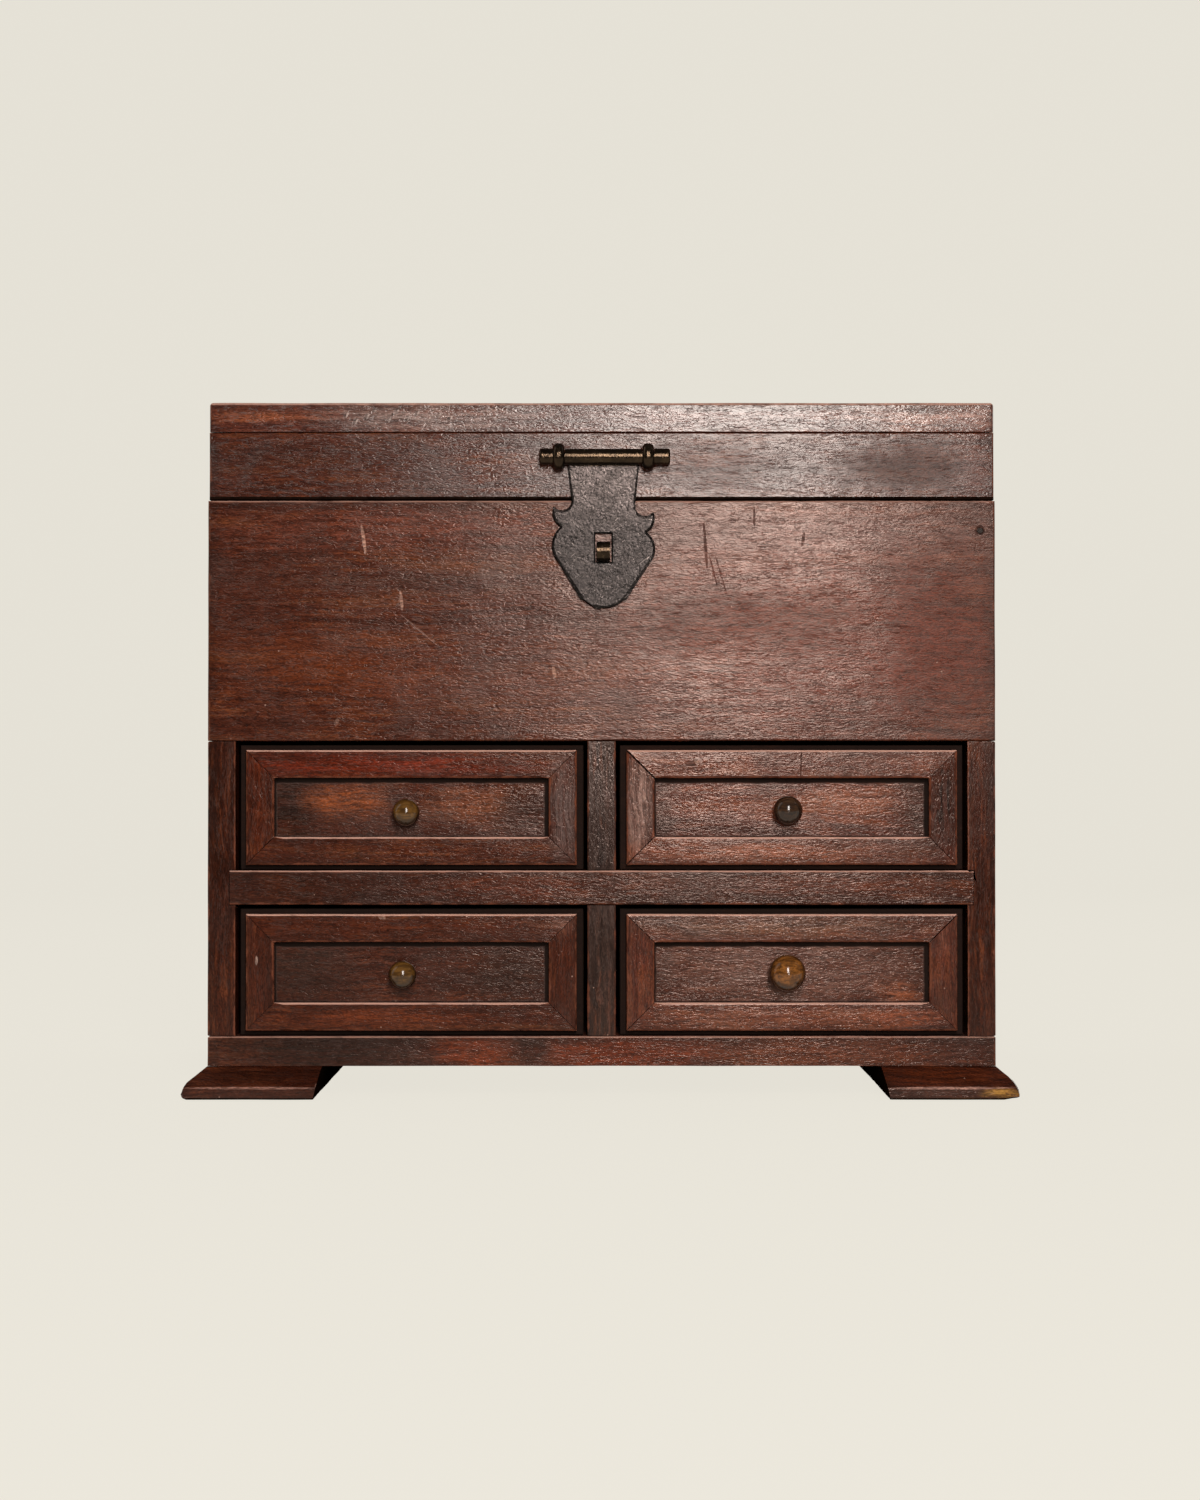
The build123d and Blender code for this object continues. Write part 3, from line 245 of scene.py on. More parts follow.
def wood_fields(tree, axis, seed):
    mm = millimetres(tree)
    apart = put(tree, "VectorMath", {0: mm, 1: (seed * 37.0, seed * 53.0, seed * 71.0)}, operation="ADD")
    sway = put(tree, "TexNoise", {"Vector": apart, "Scale": 1 / 55, "Detail": 2.0}, "Color")
    bent = put(tree, "VectorMath", {0: sway, 1: (12, 12, 12), 2: apart}, operation="MULTIPLY_ADD")
    ragged = put(tree, "TexNoise", {"Vector": bent, "Scale": 1 / 9, "Detail": 3.0}, "Fac")
    wrinkle = hairlines(tree, grain(tree, bent, axis, 12, 1.1, 1.0, 1.0), 0.05)
    broken = grain(tree, apart, axis, 12, 4, 1.0)
    broken = put(tree, "MapRange", {0: broken, 1: 0.38, 2: 0.60, 4: 0.5}, **SMOOTH)
    # the sunny side of a wrinkle, for a painted highlight and shade: the same noise is read twice, a little apart
    # towards the light
    sunward = put(tree, "VectorMath", {0: apart, 1: (0.45, 0.45, 0.6)}, operation="ADD")
    crest, beyond = (grain(tree, at, axis, 5.0, 1.6, 1.0, 1.8) for at in (apart, sunward))
    sunny = put(tree, "Math", {0: crest, 1: beyond}, operation="SUBTRACT")
    return SimpleNamespace(
        mm=mm, apart=apart, bent=bent, axis=axis, crest=crest, sunny=sunny,
        figure=grain(tree, bent, axis, 140, 12, 4.0),   # growth rings cut flat, 12 mm apart
        streak=grain(tree, bent, axis, 60, 2.0, 3.0),   # fibres in bundles
        pore=grain(tree, apart, axis, 8, 0.8, 1.0),     # open pores, twice as wide as real ones to show
        wrinkle=put(tree, "Math", {0: wrinkle, 1: broken}, operation="MULTIPLY"),
        cloud=put(tree, "TexNoise", {"Vector": apart, "Scale": 1 / 42, "Detail": 3.0, "Distortion": 0.6}, "Fac"),
        ragged=put(tree, "Math", {0: ragged, 1: 0.5}, operation="SUBTRACT"))


print("wood fields ready")

# %% [markdown]
# ### Where the edges are
# Wear and dirt follow edges. A bevel shader could find them, but it looks different on every mesh. On a
# board the answer is arithmetic: of a surface point's three distances to the board's faces, one is zero and
# the middle one is the distance to the nearest edge.

# %% Distance to the nearest edge of a board
def edge_distance(tree, mm, low, high):
    middle, half = (low + high) / 2, (high - low) / 2
    off = put(tree, "VectorMath", {0: mm, 1: middle}, operation="SUBTRACT")
    off = put(tree, "VectorMath", {0: off}, operation="ABSOLUTE")
    inside = put(tree, "VectorMath", {0: half, 1: off}, operation="SUBTRACT")
    x, y, z = put(tree, "SeparateXYZ", {0: inside}).node.outputs
    least = put(tree, "Math", {0: y, 1: z}, operation="MINIMUM")
    least = put(tree, "Math", {0: x, 1: least}, operation="MINIMUM")
    most = put(tree, "Math", {0: y, 1: z}, operation="MAXIMUM")
    most = put(tree, "Math", {0: x, 1: most}, operation="MAXIMUM")
    total = put(tree, "VectorMath", {0: inside, 1: (1, 1, 1)}, "Value", operation="DOT_PRODUCT")
    total = put(tree, "Math", {0: total, 1: least}, operation="SUBTRACT")
    return put(tree, "Math", {0: total, 1: most}, operation="SUBTRACT")


print("edge rule ready for boards")


# %% Distance past the rim of a flat frame, seen from the front
def past_rim(tree, mm, middle, half):
    off = put(tree, "VectorMath", {0: mm, 1: middle}, operation="SUBTRACT")
    off = put(tree, "VectorMath", {0: off}, operation="ABSOLUTE")
    past = put(tree, "VectorMath", {0: off, 1: half}, operation="SUBTRACT")
    past = put(tree, "SeparateXYZ", {0: past}).node.outputs
    return put(tree, "Math", {0: past["X"], 1: past["Z"]}, operation="MAXIMUM")


def length_edge_distance(tree, mm, low, high, width):
    outer = past_rim(tree, mm, (low + high) / 2, (high - low) / 2)
    outer = put(tree, "Math", {0: outer, 1: -1.0}, operation="MULTIPLY")
    inner = put(tree, "Math", {0: width, 1: outer}, operation="SUBTRACT")
    return put(tree, "Math", {0: outer, 1: inner}, operation="MINIMUM")


print("edge rules ready for frames")

# %% [markdown]
# ### The bare figure
# Three tones are mixed by the growth rings and the fibres. Red shows where hands have rubbed through the
# old stain, and a grey bloom lies in clouds where damp has got under the wax.

# %% Tones of one board
def painted(tree, colour, tone, field, start, end, share=1.0):
    # lays a tone over a colour where a field goes from start to end
    mask = put(tree, "MapRange", {0: field, 1: start, 2: end, 4: share}, **SMOOTH)
    return put(tree, "Mix", {0: mask, "A": colour, "B": linear(tone)}, **RGBA)


def figured(tree, wood, tones, rub, bloom):
    mingled = put(tree, "Mix", {0: 0.42, "A": wood.figure, "B": wood.streak})
    colour = painted(tree, linear(tones[0]), tones[1], mingled, 0.34, 0.56)
    colour = painted(tree, colour, tones[2], mingled, 0.50, 0.67)
    rubbed = put(tree, "Math", {0: wood.cloud, 1: wood.streak}, operation="ADD")
    colour = painted(tree, colour, "#703a20", rubbed, 1.02, 1.28, rub)
    return painted(tree, colour, "#3b2823", wood.cloud, 0.50, 0.30, bloom)


print("figure ready")

# %% [markdown]
# ### Marks of use
# A mark is an ellipse laid on the front of a board. Soft ones are stains, broken up by the fibres, and hard
# ones are scratches and knocks, which are also cut into the relief. One without a tone is a place where the
# wax has gone dull.

# %% Stains and scratches
MARK_DEPTH = 30.0   # millimetres from the front of the board
HARD = 0.5          # a mark softer than this is a stain
LEVEL_STAIN = (0, 1.0)


def marked(tree, wood, colour, spots, front):
    cuts = dull = None
    fibres = put(tree, "MapRange", {0: wood.streak, 1: 0.36, 2: 0.62, 3: 0.25, 4: 1.0})
    skips = put(tree, "MapRange", {0: wood.pore, 1: 0.40, 2: 0.54, 3: 0.3, 4: 1.0})
    for x, z, half_x, half_z, *lie, tone, share in spots:
        turn, soft = lie or LEVEL_STAIN
        lay = put(tree, "Mapping", {"Vector": wood.mm, "Location": (x, front, z),
                                    "Rotation": (0, math.radians(turn), 0),
                                    "Scale": (half_x, MARK_DEPTH, half_z)}, vector_type="TEXTURE")
        reach = put(tree, "VectorMath", {0: lay}, "Value", operation="LENGTH")
        reach = put(tree, "Math", {0: wood.ragged, 1: 1.1 * soft, 2: reach}, operation="MULTIPLY_ADD")
        mask = put(tree, "MapRange", {0: reach, 1: 1.0 + 0.45 * soft, 2: 1.0 - 0.75 * soft, 4: share}, **SMOOTH)
        if tone is None:
            dull = mask if dull is None else put(tree, "Math", {0: dull, 1: mask}, operation="MAXIMUM")
            continue
        mask = put(tree, "Math", {0: mask, 1: skips if soft < HARD else fibres}, operation="MULTIPLY")
        if soft < HARD:
            cuts = mask if cuts is None else put(tree, "Math", {0: cuts, 1: mask}, operation="MAXIMUM")
        colour = put(tree, "Mix", {0: mask, "A": colour, "B": linear(tone)}, **RGBA)
    return colour, cuts, dull


print("marks: stains above softness", HARD)

# %% [markdown]
# ### Dirt, wear and painted light
# Dirt gathers a few millimetres in from the edges and in the pores. Each wrinkle gets a painted highlight on
# its sunny side and a painted shade on the other. Hands and dusters polish the edge itself until paler wood
# shows, and edges that face up are made paler still, partly wear and partly a painted highlight. A few pale
# specks and worm holes are scattered by cells, one speck at most in each.

# %% Dirt, worn edges, specks, and painted highlight and shade
def facing(tree):
    normal = put(tree, "NewGeometry", out="Normal")
    return put(tree, "SeparateXYZ", {0: normal}).node.outputs


def handled(tree, wood, colour, edge, grime, wear):
    colour = painted(tree, colour, "#1a0b07", wood.pore, 0.60, 0.74, 0.55)
    # painted highlight and shade: the colour is made lighter on the sunny side of each wrinkle and darker on the
    # other
    painted_relief_light = put(tree, "MapRange", {0: wood.sunny, 1: -0.18, 2: 0.18, 3: 0.6, 4: 1.4})
    colour = put(tree, "VectorMath", {0: colour, "Scale": painted_relief_light}, operation="SCALE")
    line = put(tree, "Math", {0: wood.wrinkle, 1: 0.4}, operation="MULTIPLY")
    colour = put(tree, "Mix", {0: line, "A": colour, "B": linear("#1d0c07")}, **RGBA)
    grimy = put(tree, "Math", {0: wood.ragged, 1: 14.0, 2: edge}, operation="MULTIPLY_ADD")
    colour = painted(tree, colour, "#22110c", grimy, 9.0, 1.0, grime)
    for cell, size, tone in ((11.0, 0.035, "#b28d7d"), (17.0, 0.04, "#120805")):
        speck = put(tree, "TexVoronoi", {"Vector": wood.apart, "Scale": 1 / cell}).node.outputs
        chosen = put(tree, "SeparateXYZ", {0: speck["Color"]})
        chosen = put(tree, "Math", {0: chosen, 1: 0.62}, operation="GREATER_THAN")
        dot = put(tree, "MapRange", {0: speck["Distance"], 1: 1.6 * size, 2: 0.8 * size, 4: 0.7})
        dot = put(tree, "Math", {0: dot, 1: chosen}, operation="MULTIPLY")
        colour = put(tree, "Mix", {0: dot, "A": colour, "B": linear(tone)}, **RGBA)
    worn = put(tree, "Math", {0: wood.ragged, 1: -4.5, 2: edge}, operation="MULTIPLY_ADD")
    colour = painted(tree, colour, "#75422f", worn, 1.4, 0.2, wear)
    # the pale tone on worn edges that face up is partly wear and partly a painted highlight from the light above
    wear_and_painted_highlight = put(tree, "MapRange", {0: facing(tree)["Z"], 1: 0.15, 2: 0.60, 4: wear}, **SMOOTH)
    near = put(tree, "Math", {0: wood.ragged, 1: -5.0, 2: edge}, operation="MULTIPLY_ADD")
    near = put(tree, "MapRange", {0: near, 1: 3.0, 2: 1.0})
    wear_and_painted_highlight = put(tree, "Math", {0: wear_and_painted_highlight, 1: near}, operation="MULTIPLY")
    return put(tree, "Mix", {0: wear_and_painted_highlight, "A": colour, "B": linear("#cfa190")}, **RGBA)


print("dirt and wear ready")

# %% Painted shade and dirt on a drawer front: nearly black in the recess outside its moulding, and a painted shadow under the moulding's inner rim
MOULDING_WIDTH = 18.0   # millimetres


def drawer_shade_and_dirt(tree, wood, colour, moulding):
    low, high = (corner * 1000 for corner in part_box(moulding))
    middle, half = (low + high) / 2, (high - low) / 2
    outer = past_rim(tree, wood.mm, middle, half)
    outer = put(tree, "MapRange", {0: outer, 1: -0.6, 2: 0.2}, **SMOOTH)
    # painted shadow under the inner rim: the light comes from above and from the right, so the band lies deepest
    # along those two sides
    inside = past_rim(tree, wood.mm, middle - Vector((0.9, 0.0, 1.3)), half)
    inside = put(tree, "Math", {0: wood.ragged, 1: 1.6, 2: inside}, operation="MULTIPLY_ADD")
    reach = {1: -MOULDING_WIDTH - 2.6, 2: -MOULDING_WIDTH - 1.0, 4: 0.95}
    inside = put(tree, "MapRange", {0: inside, **reach}, **SMOOTH)
    # outside the moulding the front is made nearly black: painted shade in the recess, with some dirt
    dirt = put(tree, "Mix", {0: outer, "A": inside, "B": 0.93})
    return put(tree, "Mix", {0: dirt, "A": colour, "B": linear("#0d0705")}, **RGBA), dirt


print("drawer dirt ready, outside lengths", MOULDING_WIDTH, "mm wide")

# %% [markdown]
# ### Relief and gloss
# The ripples are what makes the wax look old. They run with the grain, so they spread the lamp's gleam up
# and down and leave it narrow from side to side, as on the real front. The gleam is a little pink, because
# the wax is stained. Every finish of the chest ends the same way, with its relief, one shader and the output,
# so one function does that for all of them.

# %% Relief of a board, and the end of every finish
def coat(tree, height, sockets, depth=1.0):
    relief = put(tree, "Bump", {"Height": height, "Distance": 0.001 * depth, "Strength": 1.0})
    shell = put(tree, "BsdfPrincipled", {"Normal": relief, **sockets})
    put(tree, "OutputMaterial", {"Surface": shell})


def wood_relief(tree, wood, cuts):
    swell = grain(tree, wood.bent, wood.axis, 70, 15, 1.0, 0.5)       # the plane's hollows
    ripple = grain(tree, wood.bent, wood.axis, 9, 1.9, 2.0, 1.4)      # settled wax
    height = put(tree, "Math", {0: swell, 1: 0.3}, operation="MULTIPLY")
    height = put(tree, "Math", {0: ripple, 1: 0.09, 2: height}, operation="MULTIPLY_ADD")
    height = put(tree, "Math", {0: wood.crest, 1: 0.14, 2: height}, operation="MULTIPLY_ADD")
    height = put(tree, "Math", {0: wood.wrinkle, 1: -0.012, 2: height}, operation="MULTIPLY_ADD")
    if cuts is not None:
        height = put(tree, "Math", {0: cuts, 1: -0.2, 2: height}, operation="MULTIPLY_ADD")
    return height


print("relief ready")

# %% The finished board
BEYOND = 30.0                    # millimetres
TOP_DULL, RIM_DULL = 0.5, 0.85   # roughness of the lid's top, and of the rims that it covers


def old_wood(name, node, axis, tones, seed, rub=0.35, bloom=0.35, grime=0.4, wear=0.75, spots=(), joints=(),
             lengths=None, rough=0.16, shine=0.30, depth=1.0, gleam="#ffe4d9"):
    # waxed hardwood, planed by hand: dark red-brown, with a soft narrow gleam
    finish, tree = blank_finish(name)
    wood = wood_fields(tree, axis, seed)
    low, high = (corner * 1000 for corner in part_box(node))
    colour = figured(tree, wood, tones, rub, bloom)
    colour, cuts, dull = marked(tree, wood, colour, spots, low.y)
    if lengths:
        edge = length_edge_distance(tree, wood.mm, low, high, lengths)
    else:
        # where a side closes on its neighbour there is no edge to wear, so the board counts as longer there
        below, above = (Vector([BEYOND if sign + side in joints else 0.0 for side in "xyz"]) for sign in "-+")
        edge = edge_distance(tree, wood.mm, low - below, high + above)
    colour = handled(tree, wood, colour, edge, grime, wear)
    gloss = put(tree, "MapRange", {0: wood.cloud, 1: 0.3, 2: 0.7, 3: rough + 0.05, 4: rough - 0.03})
    if dull is not None:
        gloss = put(tree, "Mix", {0: dull, "A": gloss, "B": 0.5})
    gloss = put(tree, "Mix", {0: wood.wrinkle, "A": gloss, "B": 0.95})
    if cuts is not None:
        gloss = put(tree, "Mix", {0: cuts, "A": gloss, "B": 0.8})
    if node.startswith(("case_", "lid_top")):
        # the rims under the lid were never waxed, and the lid's top is rubbed dull by what stood on it
        up = put(tree, "MapRange", {0: facing(tree)["Z"], 1: 0.85, 2: 0.97}, **SMOOTH)
        gloss = put(tree, "Mix", {0: up, "A": gloss, "B": TOP_DULL if node.startswith("lid") else RIM_DULL})
    if node.endswith("_drawer_front"):
        # painted shade in the recess round the moulding and a painted shadow under its inner rim, with dirt
        colour, dirt = drawer_shade_and_dirt(tree, wood, colour, node.replace("_front", "_moulding"))
        gloss = put(tree, "Mix", {0: dirt, "A": gloss, "B": 0.95})
    coat(tree, wood_relief(tree, wood, cuts), {"Base Color": colour, "Roughness": gloss, "IOR": 1.5,
                                               "Specular IOR Level": shine, "Specular Tint": linear(gleam)}, depth)
    return finish


print("wood recipe ready")

# %% [markdown]
# ## Each board's own marks
# These are the marks a buyer would point at: red rubbed streaks low on the left of the front board, a grey
# band above them, pale scratches, a knocked foot that shows yellow wood. Some are painted light instead: the
# dark ends of the drawer panels are painted shade, and a few pale marks are painted highlights and painted sheen.
# Each mark gives centre x and z, half width, half height, turn in degrees, softness, tone and strength, in
# millimetres of the chest. One without turn and softness is a level, soft stain.

# %% Marks on the case and the lid
lid_dents_painted_light = []
for x, z in ((-163, 433), (-157, 429), (-150, 432), (-145, 436), (-136, 430), (-131, 435), (-124, 431),
             (-118, 434), (-111, 430), (-104, 433), (-97, 431)):
    # each dent is painted light: a painted shade on its near side and a painted highlight on its far one
    lid_dents_painted_light += [(x, z, 0.9, 2.2, 25, 0.4, "#241410", 0.75),
                     (x + 1.6, z + 0.4, 0.7, 1.9, 25, 0.4, "#d5c2ba", 0.65)]
SPOTS = {
    "case_front_board": [
        (-170, 275, 80, 24, 2, 1.0, "#5e2a12", 0.85), (-205, 350, 42, 5, "#5a2718", 0.45),
        (-130, 362, 110, 14, "#703a2b", 0.55),
        (-96, 327, 100, 8, "#33211d", 0.75), (-60, 262, 80, 10, -1, 1.0, "#643628", 0.5),
        (-225, 318, 40, 22, "#3d1c13", 0.6), (150, 270, 110, 30, "#5b3024", 0.4),
        (215, 262, 45, 26, "#4f261b", 0.6), (190, 330, 60, 12, "#4a2a22", 0.6),
        (-151, 354, 1.1, 9, -8, 0.4, "#bd917e", 0.8), (-127, 315, 1.2, 6, -6, 0.4, "#b58a78", 0.8),
        (-115, 296, 0.5, 15, -50, 0.3, "#8f6a5c", 0.4), (-30, 270, 1.3, 4, -12, 0.4, "#b98f7c", 0.75),
        (-168, 238, 1.4, 2.6, 20, 0.3, "#8c6657", 0.6), (66, 350, 0.8, 14, -4, 0.3, "#2b1713", 0.7),
        (71, 334, 0.5, 10, -14, 0.3, "#3a201a", 0.6), (76, 331, 0.4, 12, -16, 0.3, "#3a201a", 0.5),
        (97, 368, 0.7, 6, 0, 0.3, "#2b1713", 0.6), (122, 352, 17, 11, "#a88d85", 0.55),
        # painted sheen: the grey-pink band at x 130, z 358 lies where the gleam falls on the top of the board
        (128, 354, 0.9, 4.5, 10, 0.3, "#1f110e", 0.8), (130, 358, 110, 20, "#6d5a55", 0.55),
        (240.4, 359.8, 3.1, 3.1, 0, 0.4, "#100807", 0.95),
        (130, 300, 120, 75, "#6a2e1d", 0.65), (205, 285, 50, 36, "#5a210f", 0.65),
        (230, 292, 55, 80, None, 0.8), (95, 302, 90, 20, None, 0.4),
    ],
    "lid_front_rail": [
        (-190, 405, 75, 14, "#341a12", 0.6), (200, 400, 50, 16, "#41302b", 0.65),
        (238, 400, 14, 22, "#552518", 0.6), (-60, 396, 60, 8, "#4d3029", 0.5),
        (200, 400, 48, 20, None, 0.8), (70, 402, 50, 18, None, 0.35),
    ],
    "lid_top_board": lid_dents_painted_light + [
        (20, 432, 60, 9, "#56291c", 0.7),
        # painted sheen: the pale pink-grey bands at x 212 and x -105 brighten the lid's front edge, most to the
        # right
        (212, 432, 62, 9, "#a9857a", 0.8), (-105, 432, 70, 9, "#8f7a73", 0.8),
        (-215, 432, 45, 4, "#84472a", 0.8),
    ],
    "middle_shelf": [
        (-185, 133, 75, 12, "#280e06", 0.85), (-60, 133, 50, 9, "#5c2917", 0.6),
        (60, 132, 40, 10, "#40241c", 0.6), (140, 135, 60, 9, "#5f3020", 0.5),
    ],
    "case_bottom_board": [
        (-175, 29, 72, 13, 0, 0.8, "#1c110d", 0.95), (-82, 29, 26, 10, 0, 0.8, "#7a351b", 0.85),
        (15, 29, 60, 11, 0, 0.8, "#6c2b13", 0.85), (-44, 30, 13, 11, 0, 0.8, "#20130f", 0.85),
        (140, 29, 70, 9, "#6b3a27", 0.75), (232, 30, 22, 9, "#3a211b", 0.6),
    ],
    "right_foot": [
        (215, 14, 42, 6, "#5a2711", 0.7), (222, 4, 36, 4, "#61392b", 0.6),
        # painted highlight: the pale line at z 7.6 along the top edge of the lip
        (221, 7.6, 41, 0.8, 0, 0.45, "#c89888", 0.65), (252, 4.0, 13, 3.2, 0, 0.7, "#b5853f", 0.95),
        (257, 3.8, 4, 0.9, 15, 0.4, "#5a3312", 0.6), (230, 0.9, 16, 0.7, 0, 0.45, "#a0673c", 0.6),
    ],
    "left_foot": [
        # painted shade: the nearly black mark at z 14 darkens the sloping top, which faces up away from the lamp
        (-225, 14, 45, 6, "#1d0d08", 0.7), (-225, 4, 42, 4, "#5a3024", 0.6),
        # painted highlight: the pale line at z 7.6 along the top edge of the lip
        (-221, 7.6, 41, 0.8, 0, 0.45, "#b08070", 0.7),
    ],
}
print("marked boards of the case and the lid:", len(SPOTS))

# %% Marks on the drawers
SPOTS.update({
    # on each drawer front, the dark marks at both ends of the panel, beside the moulding's stiles, are painted
    # shade
    "upper_left_drawer_front": [
        (-196, 184, 20, 26, 0, 0.8, "#1c120f", 0.9), (-162, 188, 27, 11, 0, 0.8, "#82411e", 1.0),
        (-86, 186, 30, 12, 0, 0.8, "#80492f", 0.85), (-46, 180, 24, 26, 0, 0.8, "#241612", 0.8),
    ],
    "upper_right_drawer_front": [
        (37, 184, 11, 26, 0, 0.8, "#231510", 0.8), (150, 186, 42, 11, 0, 0.8, "#7a452d", 0.75),
        (204, 184, 18, 26, 0, 0.8, "#1f120e", 0.85),
    ],
    "lower_left_drawer_front": [
        (-190, 80, 36, 24, "#231611", 0.8), (-58, 80, 30, 24, "#241712", 0.75),
        (-110, 88, 40, 14, "#48241a", 0.5),
    ],
    "lower_right_drawer_front": [
        (32, 80, 14, 26, "#2b1b16", 0.65), (188, 66, 14, 8, 15, 1.0, "#8a4c2e", 0.75),
        (206, 84, 14, 24, "#2b1b16", 0.65), (120, 64, 60, 6, "#6a4030", 0.4),
        (118, 82, 80, 22, "#6f5147", 0.75),
    ],
    "upper_left_drawer_moulding": [
        # painted sheen: the grey mark on the right stile
        (-140, 211, 90, 9, "#70240f", 0.9), (-24, 184, 10, 34, "#5f504d", 0.85),
        (-217, 184, 9, 32, "#4a1d10", 0.6), (-190, 156, 26, 8, "#3a1a11", 0.6),
    ],
    "upper_right_drawer_moulding": [
        # painted sheen: the pale grey mark on the left stile
        (24, 184, 9, 34, 0, 0.8, "#8d6f65", 0.9),
        (216.5, 184, 9.5, 34, 0, 0.8, "#100807", 0.95), (100, 156, 80, 8, "#8f5238", 0.8),
        # a dent at x 56: the dark mark is its painted shade and the pale mark beside it at x 60 its painted
        # highlight
        (197, 159, 14, 8, "#43200f", 0.7), (56, 211.5, 3.5, 1.6, 10, 0.4, "#2a1712", 0.6),
        (60, 213, 2.2, 1.0, 40, 0.4, "#b89888", 0.5), (126.5, 212, 0.5, 9, 2, 0.3, "#2a1611", 0.7),
        (27, 190, 1.4, 1.8, 0, 0.4, "#a98a7c", 0.5), (27.6, 184, 1.6, 1.8, 0, 0.4, "#2a1712", 0.5),
    ],
    "lower_left_drawer_moulding": [
        (-140, 50, 60, 8, "#6d3218", 0.75), (-218, 80, 9, 30, "#471f12", 0.6),
        (-130, 108, 70, 8, "#54240f", 0.5), (-139.5, 115, 3.2, 1.6, 35, 0.4, "#b89280", 0.7),
        (-218.6, 87, 0.9, 2.8, 0, 0.4, "#c8aa9c", 0.6), (-24, 110, 8, 6, "#6d4b40", 0.6),
    ],
    "lower_right_drawer_moulding": [
        (110, 51, 90, 8, "#7d4a34", 0.7), (192, 51, 22, 7, "#8a4424", 0.75),
        (110, 108, 90, 8, "#75523f", 0.6), (218, 62, 9, 14, "#33201a", 0.6),
    ],
})
print("boards with marks of their own:", len(SPOTS))

# %% [markdown]
# ## A finish for each board
# A board's row gives the way of its grain, its three tones and what sets it apart from its neighbours: how
# worn its edges are, how much it gleams, how deep its relief is, and the sides where it closes on a
# neighbour. A moulding has two finishes, because the grain turns with its lengths.

# %% Tones: dark posts, warm fronts, rosy mouldings, dull dividers
DEEP = ("#290f06", "#3c190d", "#532918")
WARM = ("#35150a", "#471e10", "#5c3019")
ROSY = ("#38180f", "#55281b", "#71402d")
DULL = ("#1c110f", "#35251f", "#4d3a36")
BOARDS = {
    "case_front_board": dict(axis="x", tones=WARM, wear=0.5, joints=["-z"]),
    "lid_front_rail": dict(axis="x", tones=WARM, bloom=0.5, shine=0.36, gleam="#fff6f2", joints=["-z", "+z"]),
    "lid_top_board": dict(axis="x", tones=ROSY, rough=0.14, shine=0.42, gleam="#fffaf7", joints=["-z"]),
    "case_left_side": dict(axis="z", tones=DEEP, depth=0.6, shine=0.24, joints=["-z", "+z"]),
    "case_right_side": dict(axis="z", tones=DEEP, depth=0.6, shine=0.24, joints=["-z", "+z"]),
    "case_bottom_board": dict(axis="x", tones=DEEP, wear=0.5, joints=["-z"]),
    "middle_shelf": dict(axis="x", tones=DEEP, joints=["-x", "+x"]),
    "upper_divider": dict(axis="z", tones=DULL, shine=0.4, joints=["-z", "+z"]),
    "lower_divider": dict(axis="z", tones=DULL, depth=0.6, joints=["-z", "+z"]),
    "left_foot": dict(axis="x", tones=DEEP, joints=["+z"]),
    "right_foot": dict(axis="x", tones=DEEP, joints=["+z"]),
    "lid_left_rail": dict(axis="y", tones=WARM, joints=["-y", "+y", "+z"]),
    "lid_right_rail": dict(axis="y", tones=WARM, joints=["-y", "+y", "+z"]),
    "lid_back_rail": dict(axis="x", tones=DEEP, joints=["-x", "+x", "+z"]),
    "case_back_board": dict(axis="x", tones=DULL, joints=["-x", "+x"]),
    "upper_left_drawer_front": dict(axis="x", tones=WARM, grime=0.0, wear=0.0),
    "upper_right_drawer_front": dict(axis="x", tones=ROSY, grime=0.0, wear=0.0),
    "lower_left_drawer_front": dict(axis="x", tones=DEEP, grime=0.0, wear=0.0),
    "lower_right_drawer_front": dict(axis="x", tones=WARM, grime=0.0, wear=0.0),
}
finishes = {}
for seed, (node, look) in enumerate(BOARDS.items(), 1):
    finishes[node] = old_wood("waxed_hardwood_" + node, node, seed=seed, spots=SPOTS.get(node, ()), **look)
DRAWERS = ("upper_left_drawer", "upper_right_drawer", "lower_left_drawer", "lower_right_drawer")
FIRST_SEED = 30
for seed, drawer in enumerate(DRAWERS, FIRST_SEED):
    node = drawer + "_moulding"
    tones, shine = (WARM, 0.22) if "left" in drawer else (ROSY, 0.30)
    finishes[node] = [old_wood("waxed_hardwood_" + node + run, node, axis, tones, seed, lengths=MOULDING_WIDTH,
                               spots=SPOTS[node], grime=0.3, wear=1.0, shine=shine)
                      for run, axis in (("_rails", "x"), ("_stiles", "z"))]
print("wood finishes:", len(finishes))

# %% [markdown]
# ## Iron
# The hasp is wrought iron. Its plate was filed and has gone dull grey, with scratches from the staple and
# from keys. Its knuckle, the pin and the eyes are darker, oiled by fingers, and so a little browner. Iron
# is a metal, so its colour lives in its reflections and the roughness does most of the work.

# %% Blotches, specks and scratches
def iron_tones(tree, mm, tones, grit, speck):
    blotch = put(tree, "TexNoise", {"Vector": mm, "Scale": 1 / 11, "Detail": 4.0, "Distortion": 0.8}, "Fac")
    fine = put(tree, "TexNoise", {"Vector": mm, "Scale": 1 / grit, "Detail": 3.0, "Distortion": 1.2}, "Fac")
    colour = painted(tree, linear(tones[0]), tones[1], blotch, 0.35, 0.65)
    return painted(tree, colour, tones[2], fine, 0.56, 0.72, speck), fine


